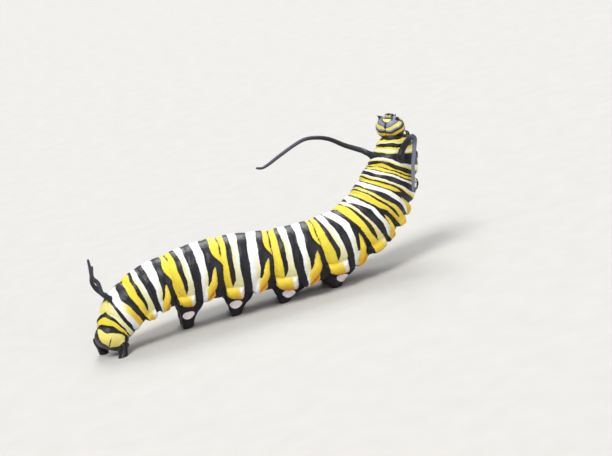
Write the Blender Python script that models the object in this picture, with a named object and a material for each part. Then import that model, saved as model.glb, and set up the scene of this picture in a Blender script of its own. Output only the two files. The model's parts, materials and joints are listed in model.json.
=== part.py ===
"""Monarch larva, last instar, on its prolegs with the fore body raised.

The body is one bent tube given by the table SEGMENTS, read from tail to head.
Each row becomes one solid, and a thin cut parts it from its neighbours.
Legs, horns and head are set on that tube by distance along it and angle round it.
Sizes are in millimetres and angles in degrees; MM turns the sizes to metres.
"""

import math
from typing import NamedTuple

import bmesh
import bpy
from mathutils import Vector

for item in list(bpy.data.objects):
    bpy.data.objects.remove(item)

MM = 0.001
# Steps of the axis for each body ring, and points round each ring of skin
STEPS = 12
ROUND = 28
# The cut between neighbouring solids
CUT = 0.30


class Segment(NamedTuple):
    """One body ring, with the sizes it has at its front edge."""

    name: str
    length: float
    pitch: float
    yaw: float
    roll: float
    high: float
    wide: float


class Foot(NamedTuple):
    """A fleshy leg: where it leaves the body and where its pad stands."""

    name: str
    along: float
    round_by: float
    base_long: float
    base_wide: float
    pad_x: float
    pad_y: float
    pad: float


class Horn(NamedTuple):
    """A tube through a few points, with a radius at each.

    A root, where given, is a distance from the tail and an angle from the back, and
    the first two radii are then the tube's at the root and at the end of its square rise.
    """

    name: str
    root: tuple
    points: tuple
    radii: tuple


SEGMENTS = (
    Segment("abdomen_10", 1.80, 48.0, 48.0, 35.0, 1.85, 1.90),
    Segment("abdomen_9", 1.20, 43.0, 44.0, 18.0, 2.30, 2.30),
    Segment("abdomen_8", 3.10, 29.0, 25.0, -2.0, 2.75, 2.75),
    Segment("abdomen_7", 4.45, 7.0, 13.0, -2.0, 3.10, 3.10),
    Segment("abdomen_6", 5.40, -4.0, 7.0, 0.0, 3.60, 3.50),
    Segment("abdomen_5", 5.50, -8.0, 2.0, 0.0, 3.50, 3.45),
    Segment("abdomen_4", 5.10, -5.0, 1.0, 0.0, 3.65, 3.55),
    Segment("abdomen_3", 4.00, 8.0, 16.0, 3.0, 3.45, 3.45),
    Segment("abdomen_2", 3.60, 25.0, 23.0, 10.0, 3.30, 3.30),
    Segment("abdomen_1", 2.50, 38.0, 30.0, 17.0, 3.20, 3.20),
    Segment("thorax_3", 2.50, 51.0, 26.0, 26.0, 2.80, 2.80),
    Segment("thorax_2", 2.65, 66.0, 28.0, 32.0, 2.05, 2.10),
    Segment("thorax_1", 1.30, 80.0, 35.0, 34.0, 1.50, 1.55),
)

# The tail's end stands here, above the floor
TAIL_X = -23.3
TAIL_Y = -1.9
TAIL_Z = 0.85
# Moves the whole larva so that the middle of its box is the origin
SHIFT_X = 5.40
SHIFT_Y = -3.57

# The belly's reach as part of the back's, and the long fold above each row of legs
BELLY = 0.80
FOLD_ANGLE = 128.0
FOLD_SPAN = 13.0
FOLD = 0.05
# The groove at each edge between rings, as part of the girth, and its half width
GROOVE = 0.035
GROOVE_HALF = 0.52
# The collar draws in over this length behind the head, by this part of its girth
NECK = 0.65
NECK_THIN = 0.32
# How blunt the tail's end is: 2 is round, more is squarer
TAIL_BLUNT = 2.6
TAIL_STOPS = (0.03, 0.12, 0.28, 0.52, 0.82, 1.16, 1.46)
# Rows of faces along a ring: a short row at each end, then about this far apart
EDGE_ROW = 0.25
ROW_GAP = 0.65
FEWEST_ROWS = 4
# Half steps along and round the skin when its direction is read, and the nearest to the
# tail's tip that it is read
SKIN_STEP = 0.06
SKIN_TURN = 2.0
SKIN_FIRST = 0.02


def edges():
    """Return the distance along the axis of every edge between rings."""
    marks = [0.0]
    for segment in SEGMENTS:
        marks.append(marks[-1] + segment.length)
    return marks


EDGES = edges()
MIDDLES = [0.5 * (a + b) for a, b in zip(EDGES, EDGES[1:])]
PITCHES = [s.pitch for s in SEGMENTS]
YAWS = [s.yaw for s in SEGMENTS]
ROLLS = [s.roll for s in SEGMENTS]


def between(marks, values, where):
    """Return a value read straight between the marks around one place."""
    if where <= marks[0]:
        return values[0]
    for low, high, one, two in zip(marks, marks[1:], values, values[1:]):
        if where <= high:
            return one + (two - one) * (where - low) / (high - low)
    return values[-1]


def smooth_between(marks, values, where):
    """Return a value on the smooth curve through the marks."""
    if where <= marks[0]:
        return values[0]
    if where >= marks[-1]:
        return values[-1]
    slopes = []
    for i in range(len(marks)):
        low = max(i - 1, 0)
        high = min(i + 1, len(marks) - 1)
        slopes.append((values[high] - values[low]) / (marks[high] - marks[low]))
    for i in range(len(marks) - 1):
        if where <= marks[i + 1]:
            span = marks[i + 1] - marks[i]
            t = (where - marks[i]) / span
            a = (2 * t**3 - 3 * t**2 + 1) * values[i]
            b = (t**3 - 2 * t**2 + t) * span * slopes[i]
            c = (3 * t**2 - 2 * t**3) * values[i + 1]
            d = (t**3 - t**2) * span * slopes[i + 1]
            return a + b + c + d
    return values[-1]


def angles(where):
    """Return pitch, yaw and roll in radians at one distance from the tail."""
    return [math.radians(between(MIDDLES, values, where)) for values in (PITCHES, YAWS, ROLLS)]


def axes(where):
    """Return the axis direction, the back's direction and the left side's."""
    pitch, yaw, roll = angles(where)
    ahead = Vector((math.cos(pitch) * math.cos(yaw), math.cos(pitch) * math.sin(yaw), math.sin(pitch)))
    back = Vector((-math.sin(pitch) * math.cos(yaw), -math.sin(pitch) * math.sin(yaw), math.cos(pitch)))
    left = Vector((-math.sin(yaw), math.cos(yaw), 0.0))
    rolled_back = back * math.cos(roll) - left * math.sin(roll)
    rolled_left = left * math.cos(roll) + back * math.sin(roll)
    return ahead, rolled_back, rolled_left


def axis_points():
    """Return the axis as points at even steps, found by adding up its directions."""
    count = STEPS * len(SEGMENTS)
    step = EDGES[-1] / count
    place = Vector((TAIL_X + SHIFT_X, TAIL_Y + SHIFT_Y, TAIL_Z))
    points = [place.copy()]
    for i in range(count):
        place = place + axes((i + 0.5) * step)[0] * step
        points.append(place.copy())
    return points


AXIS = axis_points()


def centre(where):
    """Return the axis point at one distance from the tail."""
    step = EDGES[-1] / (len(AXIS) - 1)
    if where < 0.0:
        return AXIS[0] + axes(0.0)[0] * where
    if where > EDGES[-1]:
        return AXIS[-1] + axes(EDGES[-1])[0] * (where - EDGES[-1])
    i = min(int(where / step), len(AXIS) - 2)
    t = where / step - i
    return AXIS[i].lerp(AXIS[i + 1], t)


HIGHS = [SEGMENTS[0].high] + [s.high for s in SEGMENTS]
WIDES = [SEGMENTS[0].wide] + [s.wide for s in SEGMENTS]


def tail_cap(where):
    """Return how far the tail's rounded end has opened, from 0 to 1."""
    reach = SEGMENTS[0].length
    if where >= reach:
        return 1.0
    t = 1.0 - max(where, 0.0) / reach
    return (1.0 - t**TAIL_BLUNT) ** (1.0 / TAIL_BLUNT)


def neck_cap(where):
    """Return what is left of the girth where the collar draws in to the neck."""
    t = min(max((where - EDGES[-1] + NECK) / NECK, 0.0), 1.0)
    return 1.0 - NECK_THIN * t * t * (3.0 - 2.0 * t)


def girth(where):
    """Return half height and half width at one distance, grooves included."""
    cap = tail_cap(where) * neck_cap(where)
    high = smooth_between(EDGES, HIGHS, where) * cap
    wide = smooth_between(EDGES, WIDES, where) * cap
    for mark in EDGES[1:-1]:
        away = (where - mark) / GROOVE_HALF
        high *= 1.0 - GROOVE * math.exp(-away * away)
        wide *= 1.0 - GROOVE * math.exp(-away * away)
    return high, wide


def profile(turn):
    """Return the outline's reach at one angle from the back, as part of the girth."""
    side = abs(turn)
    reach = 1.0
    if side > 90.0:
        t = (side - 90.0) / 90.0
        reach = 1.0 - (1.0 - BELLY) * t * t * (3.0 - 2.0 * t)
    away = (side - FOLD_ANGLE) / FOLD_SPAN
    return reach + FOLD * math.exp(-away * away)


def skin(where, turn):
    """Return the skin point at one distance and one angle from the back.

    A positive angle is the larva's right side.
    """
    high, wide = girth(where)
    _, back, left = axes(where)
    reach = profile(turn)
    angle = math.radians(turn)
    return centre(where) + back * high * reach * math.cos(angle) - left * wide * reach * math.sin(angle)


def off_skin(where, turn, lift):
    """Return a point that stands off the skin by a height, square to it."""
    along = skin(where + SKIN_STEP, turn) - skin(max(where - SKIN_STEP, SKIN_FIRST), turn)
    round_it = skin(where, turn + SKIN_TURN) - skin(where, turn - SKIN_TURN)
    out = along.cross(round_it).normalized()
    place = skin(where, turn)
    if out.dot(place - centre(where)) < 0.0:
        out = -out
    return place + out * lift


COLOURS = {
    "banded_skin": (0.83, 0.71, 0.16, 1.0),
    "black_flesh": (0.02, 0.02, 0.024, 1.0),
    "head_shell": (0.72, 0.66, 0.22, 1.0),
    "horn_black": (0.018, 0.018, 0.02, 1.0),
}
ROUGHNESS = 0.5


def material(node, slot):
    """Return the node's own material, coloured by its slot."""
    made = bpy.data.materials.new(f"{node}_{slot}")
    made.use_nodes = True
    shader = made.node_tree.nodes["Principled BSDF"]
    shader.inputs["Base Color"].default_value = COLOURS[slot]
    shader.inputs["Roughness"].default_value = ROUGHNESS
    return made


def add_solid(name, slot, rings, first, last):
    """Make a closed solid from rings of points and an end point for each end.

    An end given as None is closed with one flat face.
    """
    mesh = bmesh.new()
    rows = [[mesh.verts.new(p * MM) for p in ring] for ring in rings]
    for row, after in zip(rows, rows[1:]):
        for i in range(len(row)):
            j = (i + 1) % len(row)
            mesh.faces.new((row[i], row[j], after[j], after[i]))
    for row, tip in ((rows[0], first), (rows[-1], last)):
        if tip is None:
            mesh.faces.new(row)
        else:
            point = mesh.verts.new(tip * MM)
            for i in range(len(row)):
                mesh.faces.new((row[i], row[(i + 1) % len(row)], point))
    bmesh.ops.recalc_face_normals(mesh, faces=mesh.faces)
    if mesh.calc_volume(signed=True) < 0.0:
        bmesh.ops.reverse_faces(mesh, faces=mesh.faces)
    data = bpy.data.meshes.new(name)
    mesh.to_mesh(data)
    mesh.free()
    made = bpy.data.objects.new(name, data)
    bpy.context.scene.collection.objects.link(made)
    data.materials.append(material(name, slot))
    return made


def ring_at(where):
    """Return one ring of skin points."""
    return [skin(where, 360.0 * i / ROUND - 180.0) for i in range(ROUND)]


def build_body():
    """Make one solid for each body ring, with a cut between neighbours."""
    for i, segment in enumerate(SEGMENTS):
        low = EDGES[i] + (CUT / 2 if i else 0.0)
        high = EDGES[i + 1] - CUT / 2
        if i == 0:
            rings = [ring_at(s) for s in (*TAIL_STOPS, high)]
            add_solid(segment.name, "banded_skin", rings, centre(0.0), None)
            continue
        count = max(FEWEST_ROWS, round((high - low) / ROW_GAP))
        inner = high - low - 2 * EDGE_ROW
        marks = [0.0] + [EDGE_ROW + inner * k / count for k in range(count + 1)] + [high - low]
        rings = [ring_at(low + m) for m in marks]
        add_solid(segment.name, "banded_skin", rings, None, None)


FEET = (
    Foot("proleg_6", 11.95, 155.0, 1.40, 16.0, -14.8, 1.25, 0.66),
    Foot("proleg_5", 17.50, 155.0, 1.40, 16.0, -9.5, 1.25, 0.66),
    Foot("proleg_4", 22.95, 155.0, 1.40, 16.0, -4.2, 1.20, 0.66),
    Foot("proleg_3", 27.80, 155.0, 1.35, 16.0, 1.6, 1.75, 0.66),
)
PAIR_MIDDLES = {"proleg_6": 2.3, "proleg_5": 2.7, "proleg_4": 2.9, "proleg_3": 3.6}

FOOT_ROUND = 16
PAD_WIDE = 0.92
# Each ring of a leg: how far down it is, and how far it has drawn in to the pad's outline
FOOT_FORM = ((0.20, 0.24), (0.42, 0.56), (0.64, 0.84), (0.84, 0.95), (0.94, 1.0), (1.0, 1.10))


def foot_rings(where, turn, long, span, pad_x, pad_y, pad, heading):
    """Return a fleshy leg's rings, from the body's skin down to the flat pad."""
    base = []
    for i in range(FOOT_ROUND):
        a = 2 * math.pi * i / FOOT_ROUND
        base.append(off_skin(max(where + long * math.cos(a), SKIN_STEP), turn + span * math.sin(a), CUT))
    sole = []
    ahead = Vector((math.cos(heading), math.sin(heading), 0.0))
    side = Vector((math.sin(heading), -math.cos(heading), 0.0))
    middle = Vector((pad_x, pad_y, 0.0))
    for i in range(FOOT_ROUND):
        a = 2 * math.pi * i / FOOT_ROUND
        sole.append(middle + ahead * pad * math.cos(a) - side * pad * PAD_WIDE * math.sin(a))
    rings = [base]
    for t, pull in FOOT_FORM:
        ring = []
        for top, low in zip(base, sole):
            place = top.lerp(low, pull)
            place.z = top.z * (1.0 - t)
            ring.append(place)
        rings.append(ring)
    return rings


def build_prolegs():
    """Make the four pairs of prolegs, each on its own flat pad."""
    for foot in FEET:
        middle = PAIR_MIDDLES[foot.name]
        heading = angles(foot.along)[1]
        for side, sign in (("right", 1.0), ("left", -1.0)):
            pad_y = middle + (foot.pad_y - middle) * sign + SHIFT_Y
            pad_x = foot.pad_x + SHIFT_X
            if sign < 0.0:
                pad_x -= math.sin(heading) * 2.0 * (middle - foot.pad_y)
            rings = foot_rings(
                foot.along, foot.round_by * sign, foot.base_long, foot.base_wide,
                pad_x, pad_y, foot.pad, heading,
            )
            top = off_skin(foot.along, foot.round_by * sign, CUT)
            add_solid(f"{foot.name}_{side}", "black_flesh", rings, top, None)


ANAL_FEET = (
    Foot("anal_proleg_right", 0.62, 86.0, 0.48, 30.0, -21.9, -2.9, 0.62),
    Foot("anal_proleg_left", 0.80, -118.0, 0.46, 24.0, -24.1, 0.1, 0.60),
)


def build_anal_prolegs():
    """Make the pair of prolegs at the tail's end."""
    for foot in ANAL_FEET:
        rings = foot_rings(
            foot.along, foot.round_by, foot.base_long, foot.base_wide,
            foot.pad_x + SHIFT_X, foot.pad_y + SHIFT_Y, foot.pad, angles(foot.along)[1],
        )
        add_solid(foot.name, "black_flesh", rings, off_skin(foot.along, foot.round_by, CUT), None)


TUBE_ROUND = 10


def curve_through(points, radii, count):
    """Return places and radii at even steps on the smooth curve through points."""
    marks = [0.0]
    for one, two in zip(points, points[1:]):
        marks.append(marks[-1] + (Vector(two) - Vector(one)).length)
    found = []
    for i in range(count + 1):
        where = marks[-1] * i / count
        place = Vector([smooth_between(marks, [p[k] for p in points], where) for k in range(3)])
        found.append((place, between(marks, radii, where)))
    return found


def tube_rings(path):
    """Return rings across a curve, turned with it so that they don't twist."""
    places = [place for place, _ in path]
    rings = []
    side = None
    for i, (place, radius) in enumerate(path):
        low = places[max(i - 1, 0)]
        high = places[min(i + 1, len(places) - 1)]
        ahead = (high - low).normalized()
        if side is None:
            side = ahead.orthogonal().normalized()
        side = (side - ahead * side.dot(ahead)).normalized()
        across = ahead.cross(side)
        ring = []
        for k in range(TUBE_ROUND):
            a = 2 * math.pi * k / TUBE_ROUND
            ring.append(place + (side * math.cos(a) + across * math.sin(a)) * radius)
        rings.append(ring)
    return rings


def shifted(points):
    """Return points moved with the larva."""
    return [Vector((x + SHIFT_X, y + SHIFT_Y, z)) for x, y, z in points]


HORNS = (
    Horn("filament_front_left_base", (40.6, -58.0),
         ((8.0, 8.0, 12.3), (6.4, 8.6, 13.2), (5.0, 9.0, 14.2), (3.8, 9.1, 14.7)),
         (0.36, 0.33, 0.30, 0.28, 0.26)),
    Horn("filament_front_left_tip", (),
         ((3.5, 9.1, 14.8), (2.4, 9.1, 14.9), (1.1, 9.0, 14.6), (-0.8, 8.8, 13.9), (-2.8, 8.4, 13.2), (-3.6, 8.2, 13.4)),
         (0.26, 0.26, 0.25, 0.25, 0.24, 0.16)),
    Horn("filament_front_right_base", (40.6, 40.0),
         ((11.9, 4.8, 11.9), (12.4, 4.75, 12.3), (12.85, 4.7, 12.72)),
         (0.34, 0.32, 0.30, 0.28)),
    Horn("filament_front_right_tip", (),
         ((13.7, 4.6, 13.2), (13.3, 4.5, 11.6), (12.8, 4.4, 10.1), (12.45, 4.2, 8.7), (12.1, 4.1, 7.4)),
         (0.25, 0.26, 0.25, 0.25, 0.16)),
    Horn("filament_rear_right", (4.3, 14.0),
         ((-22.8, -0.8, 7.1), (-23.1, -0.8, 8.0), (-22.9, -0.9, 8.9), (-22.8, -0.9, 10.6)),
         (0.32, 0.28, 0.26, 0.25, 0.15)),
    Horn("filament_rear_left", (4.45, -18.0),
         ((-22.8, 1.6, 7.2), (-23.2, 1.8, 7.9), (-22.9, 1.9, 9.1)),
         (0.32, 0.28, 0.26, 0.16)),
)


HORN_ROWS = 9
# A horn starts this far off the skin, and leaves it square as far as the second height
HORN_LIFTS = (CUT + 0.06, CUT + 0.45)


def build_horns():
    """Make the fleshy horns of the second thorax ring and the eighth abdomen ring."""
    for horn in HORNS:
        points = shifted(horn.points)
        radii = horn.radii
        if horn.root:
            points = [off_skin(*horn.root, lift) for lift in HORN_LIFTS] + points
            radii = radii[:1] + radii
        rings = tube_rings(curve_through(points, radii, HORN_ROWS))
        add_solid(horn.name, "horn_black", rings, None, None)


# Name, body ring, place along it as part of its length, angle from the back, length
LEGS = (
    ("leg_3", "thorax_3", 0.55, 152.0, 2.1),
    ("leg_2", "thorax_2", 0.50, 150.0, 1.9),
    ("leg_1", "thorax_1", 0.40, 148.0, 1.5),
)
LEG_LIFT = CUT + 0.05
# A leg's joints as parts of its length: out from the body, ahead and inwards
LEG_JOINTS = ((0.0, 0.0, 0.0), (0.24, 0.18, 0.02), (0.36, 0.44, 0.12), (0.37, 0.70, 0.30))
LEG_RADII = (0.46, 0.38, 0.29, 0.12)
LEG_ROWS = 6


def build_legs():
    """Make the three pairs of jointed legs under the raised fore body."""
    names = [segment.name for segment in SEGMENTS]
    for name, ring, part, turn, long in LEGS:
        index = names.index(ring)
        where = EDGES[index] + SEGMENTS[index].length * part
        ahead, _, left = axes(where)
        for side, sign in (("right", 1.0), ("left", -1.0)):
            base = off_skin(where, turn * sign, LEG_LIFT)
            out = (base - centre(where)).normalized()
            points = [base + (out * a + ahead * b + left * sign * c) * long for a, b, c in LEG_JOINTS]
            path = curve_through(points, LEG_RADII, LEG_ROWS)
            add_solid(f"{name}_{side}", "black_flesh", tube_rings(path), None, None)


HEAD_WIDE = 1.70
HEAD_TALL = 1.36
HEAD_DEEP = 1.22
HEAD_AHEAD = 0.78
HEAD_ASIDE = 0.20
# The head is thrown up by the first angle, then turned to its left and leant over
HEAD_PITCH = 84.0
HEAD_TURN = 12.0
HEAD_LEAN = -8.0
HEAD_ROUND = 24
HEAD_ROWS = 14


class Lobe(NamedTuple):
    """A rounded mouth part: its middle and half sizes along left, crown and face."""

    left: float
    crown: float
    face: float
    wide: float
    tall: float
    deep: float


UPPER_LIP = Lobe(0.0, -1.03, 0.68, 0.44, 0.30, 0.27)
# One of the two biting jaws under the lip; the other mirrors it
JAW = Lobe(0.25, -1.20, 0.34, 0.27, 0.33, 0.33)
LOWER_LIP = Lobe(0.0, -1.22, -0.14, 0.40, 0.26, 0.22)
LOBE_ROUND = 12
LOBE_ROWS = 7
# An antenna's root on the head, the way it points, and its joints and radii along it
ANTENNA_ROOT = (1.02, -0.95, 0.40)
ANTENNA_WAY = (0.45, -0.50, 0.70)
ANTENNA_STOPS = (0.36, 0.52, 0.68)
ANTENNA_RADII = (0.25, 0.22, 0.15)
ANTENNA_ROWS = 3


def head_frame():
    """Return the head's middle, face direction, crown direction and left side."""
    where = EDGES[-1]
    ahead, back, left = axes(where)
    pitch, turn, lean = (math.radians(a) for a in (HEAD_PITCH, HEAD_TURN, HEAD_LEAN))
    front = ahead * math.cos(pitch) + back * math.sin(pitch)
    top = back * math.cos(pitch) - ahead * math.sin(pitch)
    face = front * math.cos(turn) + left * math.sin(turn)
    side = left * math.cos(turn) - front * math.sin(turn)
    crown = top * math.cos(lean) - side * math.sin(lean)
    middle = centre(where) + ahead * HEAD_AHEAD + left * HEAD_ASIDE
    return middle, face, crown, side * math.cos(lean) + top * math.sin(lean)


def ball_rings(shape, grow, rows, count):
    """Return an egg's rings from its mouth end to its crown end, and its two end points."""
    head, face, crown, left = head_frame()
    middle = head + left * shape.left + crown * shape.crown + face * shape.face
    wide, tall, deep = shape.wide + grow, shape.tall + grow, shape.deep + grow
    rings = []
    for i in range(1, rows):
        a = math.pi * i / rows
        ring = []
        for k in range(count):
            b = 2 * math.pi * k / count
            across = left * wide * math.cos(b) + face * deep * math.sin(b)
            ring.append(middle - crown * tall * math.cos(a) + across * math.sin(a))
        rings.append(ring)
    return rings, middle - crown * tall, middle + crown * tall


def combine(solid, tool, operation):
    """Join one solid to another or cut it out of it, and drop the tool."""
    step = solid.modifiers.new("step", "BOOLEAN")
    step.operation = operation
    step.solver = "MANIFOLD"
    step.object = tool
    bpy.context.view_layer.update()
    graph = bpy.context.evaluated_depsgraph_get()
    shape = bpy.data.meshes.new_from_object(solid.evaluated_get(graph))
    solid.modifiers.clear()
    solid.data = shape
    bpy.data.objects.remove(tool)


def build_head():
    """Make the head with its mouth parts, its hollow in the collar, and two short antennae."""
    capsule = Lobe(0.0, 0.0, 0.0, HEAD_WIDE, HEAD_TALL, HEAD_DEEP)
    head = add_solid("head", "head_shell", *ball_rings(capsule, 0.0, HEAD_ROWS, HEAD_ROUND))
    for part in (UPPER_LIP, JAW, JAW._replace(left=-JAW.left), LOWER_LIP):
        lobe = add_solid("lobe", "head_shell", *ball_rings(part, 0.0, LOBE_ROWS, LOBE_ROUND))
        combine(head, lobe, "UNION")
    room = add_solid("room", "head_shell", *ball_rings(capsule, CUT, HEAD_ROWS, HEAD_ROUND))
    combine(bpy.data.objects["thorax_1"], room, "DIFFERENCE")
    middle, face, crown, left = head_frame()
    for name, sign in (("antenna_left", 1.0), ("antenna_right", -1.0)):
        out, up, front = ANTENNA_ROOT
        root = middle + left * out * sign + crown * up + face * front
        out, up, front = ANTENNA_WAY
        way = (left * out * sign + crown * up + face * front).normalized()
        path = curve_through([root + way * stop for stop in ANTENNA_STOPS], ANTENNA_RADII, ANTENNA_ROWS)
        add_solid(name, "black_flesh", tube_rings(path), None, None)


build_body()
build_prolegs()
build_anal_prolegs()
build_horns()
build_legs()
build_head()
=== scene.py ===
"""Monarch larva, full grown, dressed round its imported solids.

One soft skin stands for the body rings and the fleshy legs. The head capsule, the mouth
parts, the antennae, the simple eyes, the horns and the jointed legs are pieces of their own.
Sizes are in millimetres and angles in degrees until a mesh is made.
"""

import json
import logging
import math
from dataclasses import dataclass, field, replace
from enum import Enum

import bpy
import numpy as np
from mathutils import Matrix, Vector

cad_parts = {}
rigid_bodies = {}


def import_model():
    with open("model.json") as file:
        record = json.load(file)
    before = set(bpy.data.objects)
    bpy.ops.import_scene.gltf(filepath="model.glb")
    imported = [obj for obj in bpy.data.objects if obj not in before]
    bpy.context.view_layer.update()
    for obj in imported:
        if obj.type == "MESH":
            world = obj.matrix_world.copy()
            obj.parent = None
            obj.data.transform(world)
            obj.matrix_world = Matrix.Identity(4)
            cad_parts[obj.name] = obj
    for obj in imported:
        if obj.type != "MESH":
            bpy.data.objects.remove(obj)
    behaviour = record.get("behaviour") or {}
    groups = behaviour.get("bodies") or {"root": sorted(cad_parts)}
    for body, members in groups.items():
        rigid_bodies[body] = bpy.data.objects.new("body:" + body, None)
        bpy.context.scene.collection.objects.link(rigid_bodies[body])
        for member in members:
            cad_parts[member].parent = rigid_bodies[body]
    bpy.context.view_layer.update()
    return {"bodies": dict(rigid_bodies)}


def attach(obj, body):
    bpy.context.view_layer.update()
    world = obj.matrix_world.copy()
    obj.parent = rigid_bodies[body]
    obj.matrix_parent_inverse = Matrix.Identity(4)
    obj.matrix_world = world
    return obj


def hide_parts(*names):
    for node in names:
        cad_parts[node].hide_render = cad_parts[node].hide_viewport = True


MM = 0.001
LOG = logging.getLogger("larva")
# The sockets of a colour mix: its factor, its two colours and its result
MIX_FACTOR, MIX_UNDER, MIX_OVER, MIX_RESULT = 0, 6, 7, 2
# A direction that no curve here runs along, from which its rings are laid out
ASIDE = (0.3, 0.5, 0.8)
LEAST_PLACES = 4

Array = np.ndarray
Pair = tuple[float, float]
Triple = tuple[float, float, float]
Form = tuple[Array, list]
# Distance into the black in millimetres, and how yellow, how orange and how straw coloured
Shades = tuple[Array, Array, Array, Array]
Material = bpy.types.Material
Piece = bpy.types.Object
Tree = bpy.types.NodeTree
Socket = bpy.types.NodeSocket


def linear(hex_colour: str) -> tuple[float, float, float, float]:
    """Turn an sRGB hex colour to linear values.

    Args:
        hex_colour: The colour as six hex digits after a hash sign.

    Returns:
        Red, green, blue and an alpha of one.
    """
    found = []
    for start in (1, 3, 5):
        value = int(hex_colour[start:start + 2], 16) / 255
        found.append(value / 12.92 if value <= 0.04045 else ((value + 0.055) / 1.055) ** 2.4)
    return found[0], found[1], found[2], 1.0


def per_mm(size: float) -> float:
    """Return the texture scale that gives features of this size in millimetres."""
    return 1.0 / (size * MM)


def smooth_step(values: Array, low: float, high: float) -> Array:
    """Return a smooth rise from 0 at low to 1 at high."""
    t = np.clip((np.asarray(values, float) - low) / (high - low), 0.0, 1.0)
    return t * t * (3.0 - 2.0 * t)


def bell(values: Array, half: float) -> Array:
    """Return a bell curve of the given half width."""
    return np.exp(-((np.asarray(values) / half) ** 2))


def inside(values: Array, low: Array, high: Array) -> Array:
    """Return how far values are inside a stretch, below zero outside it."""
    return np.minimum(values - low, high - values)


def least(*values: Array) -> Array:
    """Return the least value at each place."""
    return np.minimum.reduce(values)


def most(*values: Array) -> Array:
    """Return the greatest value at each place."""
    return np.maximum.reduce(values)


def unit(vectors: Array) -> Array:
    """Return the vectors at length one."""
    return vectors / np.maximum(np.linalg.norm(vectors, axis=-1, keepdims=True), 1e-12)


def circle(count: int) -> Array:
    """Return evenly spaced angles round a circle, in radians."""
    return np.arange(count) * 2 * np.pi / count


def run_length(points: Array) -> Array:
    """Return how far each point is along the line through them all."""
    return np.concatenate([[0.0], np.cumsum(np.linalg.norm(np.diff(points, axis=0), axis=1))])


def settle(node: bpy.types.Node, values: dict | None = None, links: dict | None = None) -> None:
    """Set constant values on a node's own sockets and link the others.

    Args:
        node: The node.
        values: Socket values by socket name or number.
        links: The output socket to link to each input, by name or number.
    """
    for key, value in (values or {}).items():
        node.inputs[key].default_value = value
    for key, output in (links or {}).items():
        node.id_data.links.new(output, node.inputs[key])


def add_node(tree: Tree, kind: str, values: dict | None = None, links: dict | None = None,
             **settings: object) -> bpy.types.Node:
    """Add a node with its settings, socket values and links.

    Args:
        tree: The node tree.
        kind: The node's type name.
        values: Socket values by socket name or number.
        links: The output socket to link to each input, by name or number.
        settings: Properties of the node itself.

    Returns:
        The new node.
    """
    node = tree.nodes.new(kind)
    for name, value in settings.items():
        setattr(node, name, value)
    settle(node, values, links)
    return node


def new_material(name: str) -> tuple[Material, Tree, bpy.types.Node, Socket]:
    """Start a material.

    Args:
        name: The material's name.

    Returns:
        The material, its tree, its Principled shader and the place on the object.
    """
    made = bpy.data.materials.new(name)
    made.use_nodes = True
    tree = made.node_tree
    place = add_node(tree, "ShaderNodeTexCoord").outputs["Object"]
    return made, tree, tree.nodes["Principled BSDF"], place


def read_fields(tree: Tree, *names: str) -> dict[str, Socket]:
    """Return the piece's own fields, one number for each corner, by name."""
    return {name: add_node(tree, "ShaderNodeAttribute", attribute_name=name).outputs["Fac"] for name in names}


def ragged_masks(tree: Tree, place: Socket, fields: dict[str, Socket], size: float, wobble: float,
                 edge: float) -> dict[str, Socket]:
    """Turn distances into masks whose edges are soft and a little ragged.

    Args:
        tree: The material's node tree.
        place: The place on the object.
        fields: Distances into each coloured area, by name.
        size: The size of the raggedness in millimetres.
        wobble: How far it moves an edge, in millimetres.
        edge: Half the softness of an edge, in millimetres.

    Returns:
        The masks, by name.
    """
    ragged = add_node(tree, "ShaderNodeTexNoise", {"Scale": per_mm(size), "Detail": 3.0}, {"Vector": place})
    shift = add_node(tree, "ShaderNodeMath", {1: 2 * wobble, 2: -wobble}, {0: ragged.outputs["Fac"]},
                     operation="MULTIPLY_ADD")
    masks = {}
    for name, distance in fields.items():
        moved = add_node(tree, "ShaderNodeMath", links={0: distance, 1: shift.outputs[0]}, operation="ADD")
        mask = add_node(tree, "ShaderNodeMapRange", {"From Min": -edge, "From Max": edge},
                        {"Value": moved.outputs[0]}, interpolation_type="SMOOTHSTEP")
        masks[name] = mask.outputs["Result"]
    return masks


def pitted(tree: Tree, place: Socket, size: float, detail: float, strength: float, depth: float,
           under: Socket | None = None) -> Socket:
    """Return the normal of a finely pitted surface.

    Args:
        tree: The material's node tree.
        place: The place on the object.
        size: The size of a pit in millimetres.
        detail: How much finer roughness it has.
        strength: How strongly it shows, from 0 to 1.
        depth: How deep it is in millimetres.
        under: The normal of a coarser surface that it lies on.

    Returns:
        The normal.
    """
    pits = add_node(tree, "ShaderNodeTexNoise", {"Scale": per_mm(size), "Detail": detail}, {"Vector": place})
    links = {"Height": pits.outputs["Fac"]}
    if under is not None:
        links["Normal"] = under
    return add_node(tree, "ShaderNodeBump", {"Strength": strength, "Distance": depth * MM}, links).outputs[0]


def set_ramp(ramp: bpy.types.Node, *colours: tuple[float, float, float, float]) -> None:
    """Set the colours of a ramp's two ends."""
    for element, colour in zip(ramp.color_ramp.elements, colours):
        element.color = colour


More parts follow.
